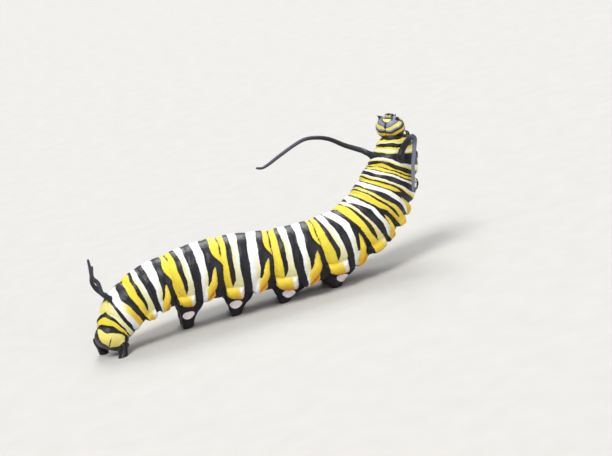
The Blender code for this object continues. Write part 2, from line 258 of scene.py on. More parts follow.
def make_piece(name: str, form: Form, materials: list[Material], nodes: tuple[str, ...] = (),
               fields: dict[str, Array] | None = None, picks: list[int] | None = None) -> Piece:
    """Make a smooth mesh piece.

    Args:
        name: The piece's name.
        form: Its corners in millimetres, and its faces as corner numbers.
        materials: Its materials.
        nodes: The nodes that it stands for.
        fields: Numbers to store for each corner, by name.
        picks: Which material each face has.

    Returns:
        The piece.
    """
    points, faces = form
    data = bpy.data.meshes.new(name)
    data.from_pydata((np.asarray(points) * MM).tolist(), [], [list(face) for face in faces])
    data.validate()
    data.update()
    data.shade_smooth()
    for item in materials:
        data.materials.append(item)
    if picks:
        data.polygons.foreach_set("material_index", picks)
    for key, values in (fields or {}).items():
        layer = data.attributes.new(key, "FLOAT", "POINT")
        layer.data.foreach_set("value", np.asarray(values, np.float32))
    made = bpy.data.objects.new(name, data)
    bpy.context.scene.collection.objects.link(made)
    if nodes:
        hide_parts(*nodes)
    LOG.info("%s: %d faces", name, len(faces))
    return made


def closed_rings(rings: list[Array], ends: Array | None = None) -> Form:
    """Join rings of points into a closed surface, with a fan at each end.

    Args:
        rings: The rings, each with the same count of points.
        ends: The points in the middle of the fans, or none for the middles of the end rings.

    Returns:
        The points and the faces.
    """
    if ends is None:
        ends = np.array([rings[0].mean(0), rings[-1].mean(0)])
    count = len(rings[0])
    points = np.concatenate([*rings, ends])
    around = [(i, (i + 1) % count) for i in range(count)]
    first, last = len(points) - 2, len(points) - 1
    top = (len(rings) - 1) * count
    faces = [(row + i, row + j, row + count + j, row + count + i)
             for row in range(0, top, count) for i, j in around]
    for i, j in around:
        faces += [(j, i, first), (top + i, top + j, last)]
    return points, faces


def join_forms(forms: list[Form]) -> tuple[Form, list[int]]:
    """Put several closed forms into one mesh.

    Args:
        forms: The points and faces of each.

    Returns:
        All the points and faces, and the number of the form that each face is of.
    """
    points, faces, owners, start = [], [], [], 0
    for number, (part, part_faces) in enumerate(forms):
        points.append(part)
        faces += [tuple(start + i for i in face) for face in part_faces]
        owners += [number] * len(part_faces)
        start += len(part)
    return (np.concatenate(points), faces), owners


def hermite(marks: Array, values: Array, where: Array) -> Array:
    """Return the smooth curve through the marks.

    Args:
        marks: Places along the curve.
        values: The value, or row of values, at each mark.
        where: The places to read.

    Returns:
        The values there.
    """
    marks, values = np.asarray(marks, float), np.asarray(values, float)
    where = np.clip(np.asarray(where, float), marks[0], marks[-1])
    low = np.maximum(np.arange(len(marks)) - 1, 0)
    high = np.minimum(np.arange(len(marks)) + 1, len(marks) - 1)
    shape = (-1,) + (1,) * (values.ndim - 1)
    slopes = (values[high] - values[low]) / (marks[high] - marks[low]).reshape(shape)
    i = np.clip(np.searchsorted(marks, where, side="right") - 1, 0, len(marks) - 2)
    span = (marks[i + 1] - marks[i]).reshape(shape)
    t = (where - marks[i]).reshape(shape) / span
    one = (2 * t**3 - 3 * t**2 + 1) * values[i] + (t**3 - 2 * t**2 + t) * span * slopes[i]
    two = (3 * t**2 - 2 * t**3) * values[i + 1] + (t**3 - t**2) * span * slopes[i + 1]
    return one + two


def sweep(places: Array, radii: Array, count: int, ripple: Array | float = 0.0) -> list[Array]:
    """Return rings along a curve, turned with it so that they don't twist.

    Args:
        places: Points along the curve.
        radii: The radius at each.
        count: Points in each ring.
        ripple: The radius's change for each point of each ring, as a part of it.

    Returns:
        The rings.
    """
    ahead = unit(np.gradient(places, axis=0))
    side = unit(np.cross(ahead[0], ASIDE))
    angle = circle(count)
    ripple = np.broadcast_to(ripple, (len(places), count))
    rings = []
    for i, place in enumerate(places):
        side = unit(side - ahead[i] * np.dot(side, ahead[i]))
        across = np.cross(ahead[i], side)
        ring = np.cos(angle)[:, None] * side + np.sin(angle)[:, None] * across
        rings.append(place + ring * (radii[i] * (1.0 + ripple[i]))[:, None])
    return rings


def along_curve(points: Array, gap: float) -> tuple[Array, Array]:
    """Return evenly spaced places on the smooth curve through points.

    Args:
        points: The points.
        gap: The distance between places.

    Returns:
        The places, and how far along each is, from 0 to 1.
    """
    points = np.asarray(points, float)
    marks = run_length(points)
    where = np.linspace(0.0, marks[-1], max(LEAST_PLACES, int(marks[-1] / gap)))
    return hermite(marks, points, where), where / marks[-1]


class Flank(Enum):
    """How a ring's bands run down its side."""

    TAIL = "bands gather towards the tail's plate"
    HOOKED = "bands end in a hook and two fleshy folds"
    STRAIGHT = "bands run straight down to the belly"


Edge = tuple[float, ...]
Bands = tuple[tuple[Edge, Edge], ...]
# The angles from the back at which the edges of bands are given, on the rings and on the tail
TURNS = (0.0, 45.0, 80.0, 108.0)
TAIL_TURNS = (0.0, 25.0, 50.0, 75.0, 105.0)


@dataclass(frozen=True)
class Ring:
    """One body ring, from the tail forward: its form and where its bands lie.

    dark and gold are the black and the yellow bands, each a rear edge and a front edge, as
    parts of the length. seam is how far down the thin dark line behind it runs. hook is the
    tip of the yellow hook, along the ring and from the back, lobe is where the rear fold
    begins and ends below it, slip is how far the ring's rear edge moves tailwards down the
    side, in millimetres, and warm is how yellow the pale band behind its broad black one is.
    """

    name: str
    length: float
    pitch: float
    yaw: float
    roll: float
    high: float
    wide: float
    flank: Flank
    dark: Bands = ()
    gold: Bands = ()
    seam: float = 0.0
    hook: Pair = (0.0, 0.0)
    lobe: Pair = (0.0, 0.0)
    slip: float = 0.0
    warm: float = 0.0


RINGS = (
    Ring("abdomen_10", 1.80, 48.0, 48.0, 35.0, 1.85, 1.90, Flank.TAIL),
    Ring("abdomen_9", 1.20, 43.0, 44.0, 18.0, 2.30, 2.30, Flank.TAIL),
    Ring("abdomen_8", 3.10, 29.0, 25.0, -2.0, 2.75, 2.75, Flank.TAIL),
    Ring("abdomen_7", 4.45, 7.0, 13.0, -2.0, 3.10, 3.10, Flank.HOOKED,
         (((0.18, 0.09, 0.025, 0.01), (0.24, 0.17, 0.13, 0.07)),
          ((0.34, 0.29, 0.26, 0.25), (0.49, 0.46, 0.48, 0.44)),
          ((0.70, 0.66, 0.645, 0.56), (0.91, 0.83, 0.83, 0.83))),
         hook=(0.79, 76.0), lobe=(119.0, 149.0), slip=0.60),
    Ring("abdomen_6", 5.40, -4.0, 7.0, 0.0, 3.60, 3.50, Flank.HOOKED,
         (((0.095, 0.12, 0.14, 0.145), (0.165, 0.23, 0.24, 0.20)),
          ((0.29, 0.34, 0.35, 0.325), (0.465, 0.52, 0.525, 0.50)),
          ((0.64, 0.675, 0.665, 0.63), (0.825, 0.83, 0.835, 0.84))),
         seam=34.0, hook=(0.85, 69.0), lobe=(116.0, 147.0), slip=0.30),
    Ring("abdomen_5", 5.50, -8.0, 2.0, 0.0, 3.50, 3.45, Flank.HOOKED,
         (((0.115, 0.11, 0.115, 0.14), (0.20, 0.215, 0.235, 0.22)),
          ((0.35, 0.355, 0.355, 0.36), (0.545, 0.54, 0.54, 0.53)),
          ((0.74, 0.74, 0.735, 0.67), (0.87, 0.88, 0.90, 0.905))),
         seam=62.0, hook=(0.91, 68.0), lobe=(114.0, 144.0)),
    Ring("abdomen_4", 5.10, -5.0, 1.0, 0.0, 3.65, 3.55, Flank.HOOKED,
         (((0.13, 0.15, 0.18, 0.205), (0.205, 0.26, 0.30, 0.275)),
          ((0.365, 0.40, 0.43, 0.45), (0.52, 0.57, 0.61, 0.605)),
          ((0.715, 0.72, 0.72, 0.70), (0.89, 0.89, 0.90, 0.90))),
         seam=72.0, hook=(0.905, 71.0), lobe=(110.0, 140.0)),
    Ring("abdomen_3", 4.00, 8.0, 16.0, 3.0, 3.45, 3.45, Flank.HOOKED,
         (((0.15, 0.195, 0.22, 0.24), (0.22, 0.30, 0.35, 0.28)),
          ((0.43, 0.465, 0.48, 0.44), (0.46, 0.70, 0.67, 0.61)),
          ((0.80, 0.92, 0.80, 0.735), (0.98, 1.04, 1.02, 1.02))),
         seam=66.0, hook=(1.01, 66.0), lobe=(105.0, 130.0)),
    Ring("abdomen_2", 3.60, 25.0, 23.0, 10.0, 3.30, 3.30, Flank.HOOKED,
         (((0.27, 0.305, 0.29, 0.30), (0.315, 0.42, 0.42, 0.34)),
          ((0.47, 0.49, 0.51, 0.51), (0.50, 0.76, 0.695, 0.62)),
          ((0.77, 0.875, 0.815, 0.74), (0.86, 0.955, 0.925, 0.925))),
         seam=64.0, hook=(0.92, 70.0), lobe=(106.0, 128.0), warm=0.6),
    Ring("abdomen_1", 2.50, 38.0, 30.0, 17.0, 3.20, 3.20, Flank.HOOKED,
         (((0.18, 0.19, 0.18, 0.19), (0.25, 0.28, 0.28, 0.24)),
          ((0.40, 0.385, 0.42, 0.43), (0.47, 0.655, 0.64, 0.60)),
          ((0.775, 0.885, 0.86, 0.78), (0.87, 0.96, 0.95, 0.95))),
         hook=(0.94, 74.0), lobe=(106.0, 128.0), warm=1.0),
    Ring("thorax_3", 2.50, 51.0, 26.0, 26.0, 2.80, 2.80, Flank.STRAIGHT,
         (((0.05, 0.145, 0.10, 0.10), (0.14, 0.26, 0.22, 0.20)),
          ((0.32, 0.37, 0.385, 0.40), (0.51, 0.62, 0.62, 0.60)),
          ((0.70, 0.715, 0.72, 0.74), (0.75, 0.775, 0.78, 0.78)),
          ((0.92, 0.86, 0.87, 0.90), (0.995, 0.935, 0.945, 0.96))),
         (((-0.2, -0.2, -0.2, -0.2), (0.09, 0.19, 0.17, 0.15)),
          ((0.13, 0.25, 0.21, 0.19), (0.24, 0.31, 0.30, 0.30)),
          ((0.72, 0.74, 0.75, 0.75), (1.2, 1.2, 1.2, 1.2)))),
    Ring("thorax_2", 2.65, 66.0, 28.0, 32.0, 2.05, 2.10, Flank.STRAIGHT,
         (((0.15, -0.01, -0.04, -0.04), (0.31, 0.19, 0.16, 0.13)),
          ((0.48, 0.345, 0.34, 0.34), (0.70, 0.76, 0.75, 0.73))),
         (((-0.2, -0.2, -0.2, -0.2), (0.24, 0.08, 0.05, 0.05)),
          ((0.30, 0.17, 0.14, 0.12), (0.38, 0.25, 0.22, 0.20)),
          ((0.69, 0.75, 0.74, 0.72), (0.78, 0.79, 0.79, 0.79)),
          ((0.89, 0.88, 0.88, 0.88), (1.2, 1.2, 1.2, 1.2)))),
    Ring("thorax_1", 1.30, 80.0, 35.0, 34.0, 1.50, 1.55, Flank.STRAIGHT,
         (((0.05, 0.005, 0.0, 0.0), (0.46, 0.31, 0.30, 0.30)),
          ((0.70, 0.69, 0.69, 0.69), (2.0, 2.0, 2.0, 2.0))),
         (((-0.2, -0.2, -0.2, -0.2), (0.09, 0.09, 0.09, 0.09)),
          ((0.53, 0.43, 0.42, 0.42), (0.9, 0.9, 0.9, 0.9)))),
)

# The black bands of the last three rings, in millimetres from the tail at TAIL_TURNS
TAIL_DARK = (
    ((1.22, 1.48, 1.55, 1.45, 1.42), (2.07, 2.00, 1.81, 1.81, 1.82)),
    ((2.72, 2.46, 2.18, 1.95, 1.95), (3.10, 2.83, 2.42, 2.13, 2.10)),
    ((4.10, 3.83, 3.12, 2.65, 2.65), (4.60, 4.15, 3.72, 3.32, 3.02)),
    ((5.45, 5.10, 4.78, 4.86, 4.74), (6.12, 5.95, 5.70, 5.52, 5.45)),
)


def band_edges(bands: Bands, side: Array, turns: Edge, scale: float = 1.0) -> list[tuple[Array, ...]]:
    """Return the rear and the front edge of each band, at these angles from the back."""
    return [tuple(np.interp(side, turns, edge) * scale for edge in band) for band in bands]


@dataclass
class BodyAxis:
    """The bent tube that the body follows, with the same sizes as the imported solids.

    A place on the skin is a distance from the tail and an angle from the back, which is
    positive on the larva's right side.
    """

    tail: Triple = (-17.90, -5.47, 0.85)
    belly: float = 0.80
    belly_turns: Pair = (90.0, 180.0)
    fold_angle: float = 128.0
    fold_span: float = 13.0
    fold: float = 0.05
    groove: float = 0.035
    groove_half: float = 0.52
    tail_blunt: float = 2.6
    steps: int = 12
    neck: float = 0.65
    neck_thin: float = 0.32
    plug: float = 0.50
    # The steps by which a normal is felt out, then how a point's place is searched for
    feel_along: float = 0.06
    feel_round: float = 2.0
    first: float = 0.02
    least_girth: float = 0.05
    search: tuple[float, float, int] = (-0.4, 0.8, 260)
    search_block: int = 20000
    reach: Pair = (-0.6, 1.2)
    rounds: int = 6
    pull: float = 0.9
    edges: Array = field(init=False)
    table: Array = field(init=False)
    marks: Array = field(init=False)

    def __post_init__(self) -> None:
        """Add up the ring lengths and the axis directions."""
        self.edges = np.concatenate([[0.0], np.cumsum([ring.length for ring in RINGS])])
        count = self.steps * len(RINGS)
        step = self.edges[-1] / count
        ahead = self.axes((np.arange(count) + 0.5) * step)[0]
        self.table = np.concatenate([[self.tail], np.array(self.tail) + np.cumsum(ahead * step, 0)])
        self.marks = np.arange(count + 1) * step

    def axes(self, where: Array) -> tuple[Array, Array, Array]:
        """Return the directions ahead, to the back and to the left.

        Args:
            where: Distances from the tail.

        Returns:
            Three rows of unit vectors.
        """
        middles = 0.5 * (self.edges[1:] + self.edges[:-1])
        pitch, yaw, roll = (
            np.radians(np.interp(where, middles, [getattr(ring, key) for ring in RINGS]))
            for key in ("pitch", "yaw", "roll")
        )
        ahead = np.stack([np.cos(pitch) * np.cos(yaw), np.cos(pitch) * np.sin(yaw), np.sin(pitch)], -1)
        back = np.stack([-np.sin(pitch) * np.cos(yaw), -np.sin(pitch) * np.sin(yaw), np.cos(pitch)], -1)
        left = np.stack([-np.sin(yaw), np.cos(yaw), np.zeros_like(yaw)], -1)
        turn, lean = np.cos(roll)[..., None], np.sin(roll)[..., None]
        return ahead, back * turn - left * lean, left * turn + back * lean

    def heading(self, where: float) -> Array:
        """Return the direction ahead at one distance from the tail."""
        return self.axes(np.array([where]))[0][0]

    def centre(self, where: Array) -> Array:
        """Return points on the axis.

        Args:
            where: Distances from the tail, also past either end.

        Returns:
            Rows of points.
        """
        inner = np.clip(where, 0.0, self.edges[-1])
        found = np.stack([np.interp(inner, self.marks, self.table[:, k]) for k in range(3)], -1)
        return found + self.axes(inner)[0] * (np.asarray(where) - inner)[..., None]

    def girth(self, where: Array) -> tuple[Array, Array]:
        """Return the body's half height and half width.

        Args:
            where: Distances from the tail.

        Returns:
            Half heights and half widths.
        """
        where = np.asarray(where, float)
        t = 1.0 - np.clip(where / RINGS[0].length, 0.0, 1.0)
        cap = (1.0 - t**self.tail_blunt) ** (1.0 / self.tail_blunt)
        cap = cap * (1.0 - self.neck_thin * smooth_step(where - self.edges[-1], -self.neck, 0.0))
        for mark in self.edges[1:-1]:
            cap = cap * (1.0 - self.groove * bell(where - mark, self.groove_half))
        highs = [RINGS[0].high] + [ring.high for ring in RINGS]
        wides = [RINGS[0].wide] + [ring.wide for ring in RINGS]
        return hermite(self.edges, highs, where) * cap, hermite(self.edges, wides, where) * cap

    def profile(self, turn: Array) -> Array:
        """Return the outline's reach, as a part of the girth.

        Args:
            turn: Angles from the back.

        Returns:
            The reach at each.
        """
        side = np.abs(turn)
        reach = 1.0 - (1.0 - self.belly) * smooth_step(side, *self.belly_turns)
        return reach + self.fold * bell(side - self.fold_angle, self.fold_span)

    def skin(self, where: Array, turn: Array) -> Array:
        """Return points on the plain skin.

        Args:
            where: Distances from the tail.
            turn: Angles from the back.

        Returns:
            Rows of points.
        """
        where, turn = np.broadcast_arrays(np.asarray(where, float), np.asarray(turn, float))
        high, wide = self.girth(where)
        _, back, left = self.axes(where)
        reach, angle = self.profile(turn), np.radians(turn)
        up = (high * reach * np.cos(angle))[..., None]
        out = (wide * reach * np.sin(angle))[..., None]
        return self.centre(where) + back * up - left * out

    def normal(self, where: Array, turn: Array) -> Array:
        """Return the outward normals of the plain skin.

        Args:
            where: Distances from the tail.
            turn: Angles from the back.

        Returns:
            Rows of unit vectors.
        """
        where, turn = np.broadcast_arrays(np.asarray(where, float), np.asarray(turn, float))
        behind = np.maximum(where - self.feel_along, self.first)
        along = self.skin(where + self.feel_along, turn) - self.skin(behind, turn)
        around = self.skin(where, turn + self.feel_round) - self.skin(where, turn - self.feel_round)
        out = unit(np.cross(along, around))
        away = self.skin(where, turn) - self.centre(where)
        return out * np.sign(np.sum(out * away, -1, keepdims=True))

    def off_skin(self, where: Array, turn: Array, lift: float) -> Array:
        """Return points that stand off the skin by a height, square to it."""
        return self.skin(where, turn) + self.normal(where, turn) * lift

    def locate(self, points: Array) -> tuple[Array, Array]:
        """Return where points are, read from the axis.

        Args:
            points: Rows of points.

        Returns:
            Distances from the tail and angles from the back.
        """
        behind, past, count = self.search
        marks = np.linspace(behind, self.edges[-1] + past, count)
        spots = self.centre(marks)
        nearest = np.empty(len(points), int)
        for low in range(0, len(points), self.search_block):
            block = points[low:low + self.search_block]
            nearest[low:low + self.search_block] = np.argmin(
                np.sum(block**2, 1)[:, None] - 2 * block @ spots.T + np.sum(spots**2, 1)[None], 1)
        where = marks[nearest]
        for _ in range(self.rounds):
            step = np.sum((points - self.centre(where)) * self.axes(where)[0], 1)
            where = np.clip(where + step * self.pull, self.reach[0], self.edges[-1] + self.reach[1])
        _, back, left = self.axes(where)
        high, wide = self.girth(where)
        away = points - self.centre(where)
        up = np.sum(away * back, 1) / np.maximum(high, self.least_girth)
        out = -np.sum(away * left, 1) / np.maximum(wide, self.least_girth)
        return where, np.degrees(np.arctan2(out, up))


@dataclass(frozen=True)
class Foot:
    """A fleshy leg: where it leaves the body, where its pad stands and where its spot is.

    along, turn, long and span are its root's place and half sizes. pad_x and pad_y are the
    pad's place on the floor and pad is its half size. dot is how far down the leg the pale
    spot is, as a part of its height, and how far ahead of its middle.
    """

    node: str
    along: float
    turn: float
    long: float
    span: float
    pad_x: float
    pad_y: float
    pad: float
    dot: Pair | None = None


# What the legs of every pair have in common
PAIR_TURN, PAIR_SPAN, PAIR_PAD = 155.0, 16.0, 0.66
# Node, distance from the tail, half length of the root, then the right pad's place on the
# floor, the line across the floor that the pair is mirrored about, and where the spot is
PAIRS = (
    ("proleg_6", 11.95, 1.40, -9.40, -2.32, -1.27, (0.44, -0.12)),
    ("proleg_5", 17.50, 1.40, -4.10, -2.32, -0.87, (0.36, -0.28)),
    ("proleg_4", 22.95, 1.40, 1.20, -2.37, -0.67, (0.32, 0.05)),
    ("proleg_3", 27.80, 1.35, 7.00, -1.82, 0.03, (0.28, 0.15)),
)
TAIL_FEET = (
    Foot("anal_proleg_right", 0.62, 86.0, 0.48, 30.0, -16.50, -6.47, 0.62),
    Foot("anal_proleg_left", 0.80, -118.0, 0.46, 24.0, -18.70, -3.47, 0.60),
)


def all_feet(axis: BodyAxis) -> list[Foot]:
    """Return every fleshy leg, the left ones mirrored from the right.

    Args:
        axis: The body's axis.

    Returns:
        The legs.
    """
    feet = list(TAIL_FEET)
    for name, along, long, pad_x, pad_y, middle, dot in PAIRS:
        ahead = axis.heading(along)
        shift = ahead[1] / math.hypot(ahead[0], ahead[1]) * 2.0 * (middle - pad_y)
        sides = (("right", 1.0, pad_x, pad_y), ("left", -1.0, pad_x - shift, 2 * middle - pad_y))
        for side, sign, x, y in sides:
            feet.append(Foot(f"{name}_{side}", along, PAIR_TURN * sign, long, PAIR_SPAN, x, y, PAIR_PAD, dot))
    return feet


def relax(points: Array, edges: Array, weight: Array, rounds: int) -> Array:
    """Smooth a mesh by moving each corner towards the middle of its neighbours.

    Args:
        points: The corners.
        edges: Pairs of corner numbers.
        weight: How far each corner moves in one round, from 0 to 1.
        rounds: How many times to do it.

    Returns:
        The smoothed corners.
    """
    count = len(points)
    degree = np.bincount(edges.ravel(), minlength=count)[:, None]
    for _ in range(rounds):
        total = np.stack([
            np.bincount(edges[:, 0], points[edges[:, 1], k], count)
            + np.bincount(edges[:, 1], points[edges[:, 0], k], count)
            for k in range(3)
        ], 1)
        points = points + (total / degree - points) * weight[:, None]
    return points


@dataclass(frozen=True)
class Folds:
    """How far places are inside one ring's hook, rear fold and small low fold, in millimetres.

    ahead is the front edge of the hook along the ring. brim is the distance above the rear
    fold's lower edge, and crease is the distance below the crease over the small fold.
    """

    hook: Array
    rear: Array
    small: Array
    ahead: Array
    brim: Array
    crease: Array


@dataclass
class Markings:
    """Where the skin is black, yellow, orange or straw coloured, for any place on the body.

    Black is given as a distance in millimetres into the black, so that its edge stays sharp.
    A name that ends in _turns is a stretch of angle, and one that ends in _run is a stretch
    in millimetres, over which something comes in. A name that ends in _tint is how strong a
    shade is, from 0 to 1, and where it has two, the second is added towards an edge or lower
    down the side.
    """

    axis: BodyAxis
    degree: float = 0.06
    waves: tuple[Triple, ...] = ((0.045, 17.0, 0.9), (0.03, 7.0, -2.3))
    blur_run: Pair = (-0.05, 0.05)
    soft_run: Pair = (-0.10, 0.10)
    fringe_run: Pair = (-0.14, 0.0)
    fringe_tint: Pair = (0.08, 0.24)
    fringe_turns: Pair = (30.0, 90.0)
    belly_turn: float = 152.0
    seam_half: float = 0.085
    seam_fade: float = 15.0
    seam_breaks: Triple = (0.85, 0.15, 0.21)
    slip_turns: Pair = (20.0, 100.0)
    straight_tint: float = 0.14
    straight_straw: float = 0.12
    straight_run: Pair = (-0.35, 0.0)
    # The hook: its edges down from its tip, as angles and millimetres. Its size grows with the
    # ring's length, and on rings longer than hook_long there is white behind it
    hook_rear: tuple[Pair, ...] = (
        (0.0, 0.0), (8.0, -0.34), (16.0, -0.56), (26.0, -0.82), (36.0, -1.16), (46.0, -1.58), (58.0, -2.0))
    hook_front: tuple[Pair, ...] = (
        (0.0, 0.0), (5.0, 0.04), (12.0, 0.02), (20.0, -0.02), (30.0, -0.06), (36.0, -0.18), (42.0, -0.40),
        (48.0, -0.70), (56.0, -1.20), (62.0, -1.65), (68.0, -2.30))
    hook_least: float = 0.45
    hook_lengths: Pair = (1.0, 4.0)
    hook_clear: float = 0.45
    hook_long: float = 3.0
    hook_run: Pair = (-1.45, -1.25)
    hook_turns: Pair = (30.0, 38.0)
    hook_blur_run: Pair = (-0.04, 0.02)
    # The hook's orange, whose second number is painted shade along the crease below it
    hook_tint: Pair = (0.18, 0.55)
    hook_tint_turns: Pair = (20.0, 40.0)
    # Where that painted crease shade lies: how far down the hook, how far above the crease and how wide
    crease_shade_turns: Pair = (24.0, 40.0)
    crease_shade_depth: float = 0.10
    crease_shade_half: float = 0.30
    # The rear fold with its pale patch and orange rim, and the small fold below the crease, along which
    # orange is laid as painted shade.
    # The rear fold is at its full height from rear_to on, a part of the ring's length
    rear_narrow: float = 12.0
    rear_from: float = -0.6
    rear_to: float = 0.30
    rear_lap: float = 0.15
    rear_tint: Pair = (0.06, 0.84)
    patch_run: Pair = (-0.62, -0.34)
    rim_run: Pair = (0.05, 0.32)
    rim_turns: Pair = (9.0, 19.0)
    rim_gold: float = 0.35
    crease_from: int = 5
    small_deep: float = 0.62
    small_span: Pair = (1.95, 0.42)
    small_run: Pair = (-1.5, -1.3)
    # The small fold's orange, whose second number is painted shade along the crease over it
    small_tint: Pair = (0.22, 0.78)
    small_crease_shade_half: float = 0.16
    # The three black bands, and the black below them
    first_turns: Pair = (-17.0, 2.0)
    first_least: float = 0.03
    first_end: float = 1.0
    third_turns: Pair = (-32.0, 0.0)
    third_low_turns: Pair = (32.0, 38.0)
    below_drop: float = 4.0
    below_lap: float = 0.1
    # The orange down the side, and the straw of the pale bands
    side_tint: float = 0.14
    side_turns: Pair = (60.0, 110.0)
    straw_tint: Pair = (0.85, -0.60)
    straw_from: float = 0.75
    straw_run: Pair = (-0.1, 0.3)
    straw_turns: Pair = (5.0, 50.0)
    low_straw_tint: float = 0.75
    low_straw_turns: Pair = (55.0, 95.0)
    late_tint: float = 0.85
    late_run: Pair = (-0.15, 0.25)
    late_turns: Pair = (60.0, 88.0)
    late_end: float = 34.0
    # The tail's plate with its middle line, and the shades of the last three rings
    plate_turn: float = 12.0
    plate_half: float = 1.75
    plate_middle: float = 1.5
    plate_reach: float = 1.38
    plate_lap: float = 0.1
    plate_line: float = 0.07
    plate_line_ends: Pair = (1.35, 1.1)
    plate_gold: Pair = (0.78, 0.22)
    plate_straw: float = 0.35
    tail_rings: int = 3
    tail_lap: float = 0.3
    tail_late_run: Pair = (-0.15, 0.2)
    tail_late_turns: Pair = (45.0, 75.0)
    tail_straw: float = 0.8
    tail_gold: float = 0.6
    tail_gold_turns: Pair = (0.0, 30.0)
    tail_tint: float = 0.4
    tail_turns: Pair = (75.0, 100.0)
    # Where a ring's marks are read: from this far before it, in millimetres, to these parts of
    # its length, of which the second is for the ring at the neck
    before: float = 0.2
    past: float = 1.12
    neck_past: float = 1.3

    def folds(self, ring: Ring, x: Array, side: Array) -> Folds:
        """Return how far places are inside a ring's hook and folds.

        Args:
            ring: The ring.
            x: Distances from its rear edge.
            side: Angles from the back, without their sign.

        Returns:
            The distances.
        """
        short, span = self.hook_lengths
        size = min(1.0, max(self.hook_least, (ring.length - short) / span))
        tip, (start, end) = ring.hook[0] * ring.length, ring.lobe
        down = side - ring.hook[1]
        ahead = tip + size * np.interp(down, *zip(*self.hook_front))
        behind = tip + size * np.interp(down, *zip(*self.hook_rear))
        hook = least(x - behind, ahead - x, down * self.degree)
        front = np.interp(side, TURNS, ring.dark[1][0]) * ring.length
        fuller = smooth_step(x + ring.slip, self.rear_from, self.rear_to * ring.length)
        low = end - (end - start - self.rear_narrow) * (1.0 - fuller)
        brim = (low - side) * self.degree
        rear = least((side - start) * self.degree, brim, front - x, x + ring.slip + self.rear_lap)
        turn_back = np.array(self.hook_front[self.crease_from:])
        floor = np.interp(x - tip, size * turn_back[::-1, 1], turn_back[::-1, 0])
        crease = (down - floor) * self.degree
        rearmost, foremost = (part * size for part in self.small_span)
        small = least(crease, self.small_deep - crease, x - tip + rearmost, tip - foremost - x)
        return Folds(hook, rear, small, ahead, brim, crease)

    def hooked_ring(self, ring: Ring, x: Array, side: Array, slip: float) -> Shades:
        """Return the shades of a middle body ring.

        Args:
            ring: The ring.
            x: Distances from its rear edge.
            side: Angles from the back, without their sign.
            slip: How far the next ring's rear edge moves tailwards down the side.

        Returns:
            The shades.
        """
        long, start, tip, down = ring.length, ring.lobe[0], ring.hook[0] * ring.length, side - ring.hook[1]
        (low1, high1), (low2, high2), (low3, high3) = band_edges(ring.dark, side, TURNS, long)
        folds = self.folds(ring, x, side)
        closing = smooth_step(side, *(start + turn for turn in self.first_turns))
        high1 = high1 + (low1 + self.first_least - high1) * closing
        first = least(x - low1, high1 - x, (start - self.first_end - side) * self.degree)
        end = np.maximum(long - slip * smooth_step(side, *self.slip_turns), tip + self.hook_clear)
        high3 = high3 + (end - high3) * smooth_step(down, *self.third_turns) ** 2
        low3 = low3 + (folds.ahead - low3) * smooth_step(down, *self.third_low_turns)
        third = np.minimum(inside(x, low3, high3), -np.maximum(folds.hook, folds.small))
        below = least((side - start - self.below_drop) * self.degree, low2 + self.below_lap - x, -folds.rear)
        black = most(first, inside(x, low2, high2), third, below)
        rim = np.maximum(1.0 - smooth_step(folds.brim, *self.rim_run),
                         smooth_step(side, *(start + turn for turn in self.rim_turns)))
        gold = np.maximum(smooth_step((low1 + high1) / 2 - x, *self.blur_run),
                          smooth_step(x - (low3 + high3) / 2, *self.blur_run))
        gold = self.fold_gold(ring, x, down, folds, gold)
        pale = (x > high1) & (x < low2)
        warm = np.maximum(smooth_step((high1 + low2) / 2 - x, *self.soft_run), ring.warm)
        gold = np.where(pale, ring.warm * warm, gold)
        patch = smooth_step(x - low2, *self.patch_run) * (1.0 - ring.warm)
        gold = np.where(folds.rear > 0.0, np.maximum(1.0 - patch, self.rim_gold * rim), gold)
        come = smooth_step(x - low2 + self.straw_from * (low2 - high1), *self.straw_run)
        straw = pale * (self.straw_tint[0] + self.straw_tint[1] * come) * smooth_step(side, *self.straw_turns)
        straw = np.maximum(straw, pale * self.low_straw_tint * smooth_step(side, *self.low_straw_turns))
        late = smooth_step(x - (high2 + low3) / 2, *self.late_run) * smooth_step(side, *self.late_turns)
        straw = np.maximum(straw, (x > high2) * (x < low3) * (down < self.late_end) * self.late_tint * late)
        straw = np.where((folds.rear > 0.0) | (folds.hook > 0.0), 0.0, straw)
        return black, gold, self.fold_deep(side, down, folds, rim), straw

    def fold_gold(self, ring: Ring, x: Array, down: Array, folds: Folds, gold: Array) -> Array:
        """Return the yellow with that of the hook and the small fold added.

        Args:
            ring: The ring.
            x: Distances from its rear edge.
            down: Angles below the hook's tip.
            folds: The distances into the ring's folds.
            gold: The yellow of its bands.

        Returns:
            How yellow each place is.
        """
        behind = x - ring.hook[0] * ring.length
        spot = smooth_step(behind, *self.hook_run) if ring.length > self.hook_long else np.ones(len(x))
        spot = np.maximum(spot, 1.0 - smooth_step(down, *self.hook_turns))
        small = smooth_step(folds.small, *self.hook_blur_run) * smooth_step(behind, *self.small_run)
        return most(gold, smooth_step(folds.hook, *self.hook_blur_run) * spot, small)

    def fold_deep(self, side: Array, down: Array, folds: Folds, rim: Array) -> Array:
        """Return how orange a middle body ring is, deepest along the lower edges of its folds, with painted
        shade along the crease between the hook and the small fold.

        Args:
            side: Angles from the back, without their sign.
            down: Angles below the hook's tip.
            folds: The distances into the ring's folds.
            rim: How near each place is to the rear fold's lower edge, from 0 to 1.

        Returns:
            How orange each place is.
        """
        deep = smooth_step(side, *self.side_turns) * self.side_tint
        deep = deep + np.where(folds.rear > 0.0, self.rear_tint[0] + self.rear_tint[1] * rim, 0.0)
        # Painted crease shade: orange along the crease below the hook, a little above it
        under = bell(folds.crease + self.crease_shade_depth, self.crease_shade_half) * smooth_step(down, *self.crease_shade_turns)
        tint = self.hook_tint[0] * smooth_step(down, *self.hook_tint_turns) + self.hook_tint[1] * under
        deep = deep + np.where(folds.hook > 0.0, tint, 0.0)
